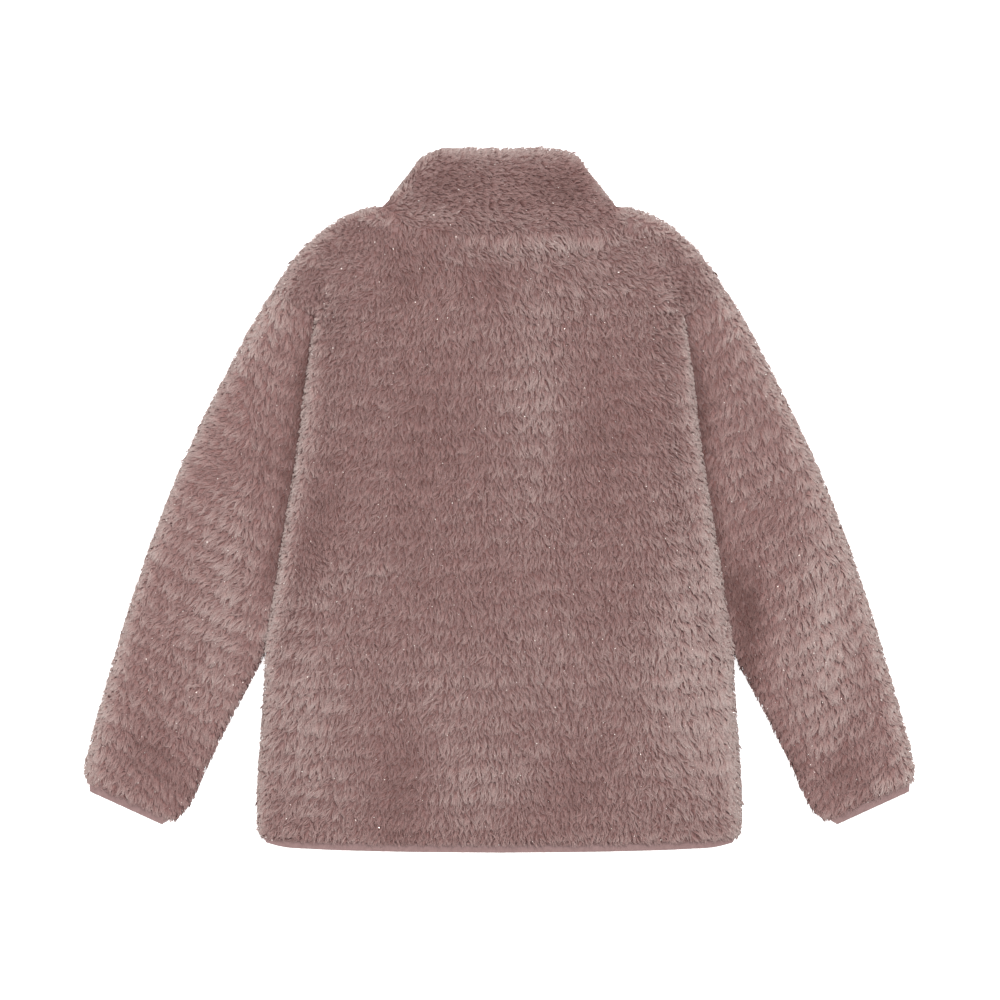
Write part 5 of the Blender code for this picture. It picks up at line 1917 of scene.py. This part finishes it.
WOVEN = tape_material()
FINISHES = {
    "zip_tape_left": WOVEN,
    "zip_tape_right": WOVEN,
    "zip_box": MOULDED,
    "zip_slider": PLATED,
    "zip_pull": PLATED,
}
for name, finish in FINISHES.items():
    frame["nodes"][name].data.materials[0] = finish
print("finished:", sorted(FINISHES))

# %% [markdown]
# ## Floor
#
# The photograph is a flat lay on white. The floor is one large square of white paper just below the
# jacket; it also glows a little, so that it stays white in the picture.

# %% Floor
def plane(name, centre, size, material):
    """A level square: its four corners are the centre plus and less half its size."""
    half = np.array([[-1, -1], [1, -1], [1, 1], [-1, 1]]) * size / 2
    corners = [(centre[0] + a, centre[1] + b, centre[2]) for a, b in half]
    mesh = bpy.data.meshes.new(name)
    mesh.from_pydata(corners, [], [(0, 1, 2, 3)])
    mesh.materials.append(material)
    made = bpy.data.objects.new(name, mesh)
    bpy.context.scene.collection.objects.link(made)
    return made


FLOOR_SIZE = 6.0
BELOW = 0.0005  # half a millimetre under the jacket
paper, paper_shader, _, _ = new_material("white paper")
paper_shader.inputs["Base Color"].default_value = (0.93, 0.93, 0.93, 1)
paper_shader.inputs["Roughness"].default_value = 0.9
paper_shader.inputs["Emission Color"].default_value = (1, 1, 1, 1)
paper_shader.inputs["Emission Strength"].default_value = 0.8
floor = plane("floor", (0, 0, -BELOW), FLOOR_SIZE, paper)
print("floor:", FLOOR_SIZE, "m square")

# %% [markdown]
# ## What each ground was cut from
#
# A sheet of cloth is listed with the size that it was cut to. The flat sizes are those of the
# panels as they lie, and all round for the sleeves and the collar. The share says how much of that
# rectangle the cut fills.

# %% Sheets
CUTS = {
    "back": ((0.412, 0.542), 0.90, ["front_left_ground", "front_right_ground"]),
    "front_left": ((0.206, 0.542), 0.90, ["floor"]),
    "front_right": ((0.206, 0.542), 0.90, ["floor"]),
    "sleeve_left": ((0.300, 0.450), 0.80, ["floor"]),
    "sleeve_right": ((0.300, 0.450), 0.80, ["floor"]),
    "collar": ((0.396, 0.110), 0.70, ["floor"]),
}
for name, (flat, share, rests_on) in CUTS.items():
    print(name, "was cut from", flat, "m")

# %% [markdown]
# ## Light
#
# The picture has even studio light. Two large soft lights leave only a faint shadow beside the
# jacket: the key stands a little above the collar, so that the locks show their relief, and the fill
# opens the shade on the other side. A white world fills in what is left.

# %% Light
def soft_light(name, place, size, power):
    """A square area light that faces the middle of the jacket."""
    lamp = bpy.data.lights.new(name, "AREA")
    lamp.shape = "SQUARE"
    lamp.size = size
    lamp.energy = power
    made = bpy.data.objects.new(name, lamp)
    made.location = place
    made.rotation_euler = (-made.location).to_track_quat("-Z", "Y").to_euler()
    bpy.context.scene.collection.objects.link(made)
    return made


key = soft_light("key", (0.5, 0.8, 3.0), 1.2, 85)
fill = soft_light("fill", (-1.6, -0.7, 2.0), 1.6, 25)
world = bpy.data.worlds.new("studio")
world.use_nodes = True
world.node_tree.nodes["Background"].inputs["Color"].default_value = (1, 1, 1, 1)
world.node_tree.nodes["Background"].inputs["Strength"].default_value = 0.8
bpy.context.scene.world = world
print("lights:", key.name, key.data.energy, "W,", fill.name, fill.data.energy, "W")

# %% [markdown]
# ## Camera
#
# The photograph was taken from straight above, almost without perspective: a long lens from high
# up. Its height follows from the width of the view, the lens and the sensor, and is counted from
# the middle of the pile's height.

# %% Camera
VIEW_WIDTH = 0.85  # metres across the picture
LENS, SENSOR = 170.0, 36.0
PILE_MIDDLE = 0.012
OFF_CENTRE = 0.0004  # half a picture point, in both directions

lens = bpy.data.cameras.new("above")
lens.lens = LENS
lens.sensor_width = SENSOR
camera = bpy.data.objects.new("above", lens)
camera.location = (OFF_CENTRE, OFF_CENTRE, VIEW_WIDTH * LENS / SENSOR + PILE_MIDDLE)
bpy.context.scene.collection.objects.link(camera)
bpy.context.scene.camera = camera
bpy.context.scene.view_settings.view_transform = "Standard"
print("camera height:", round(camera.location.z, 3), "m")
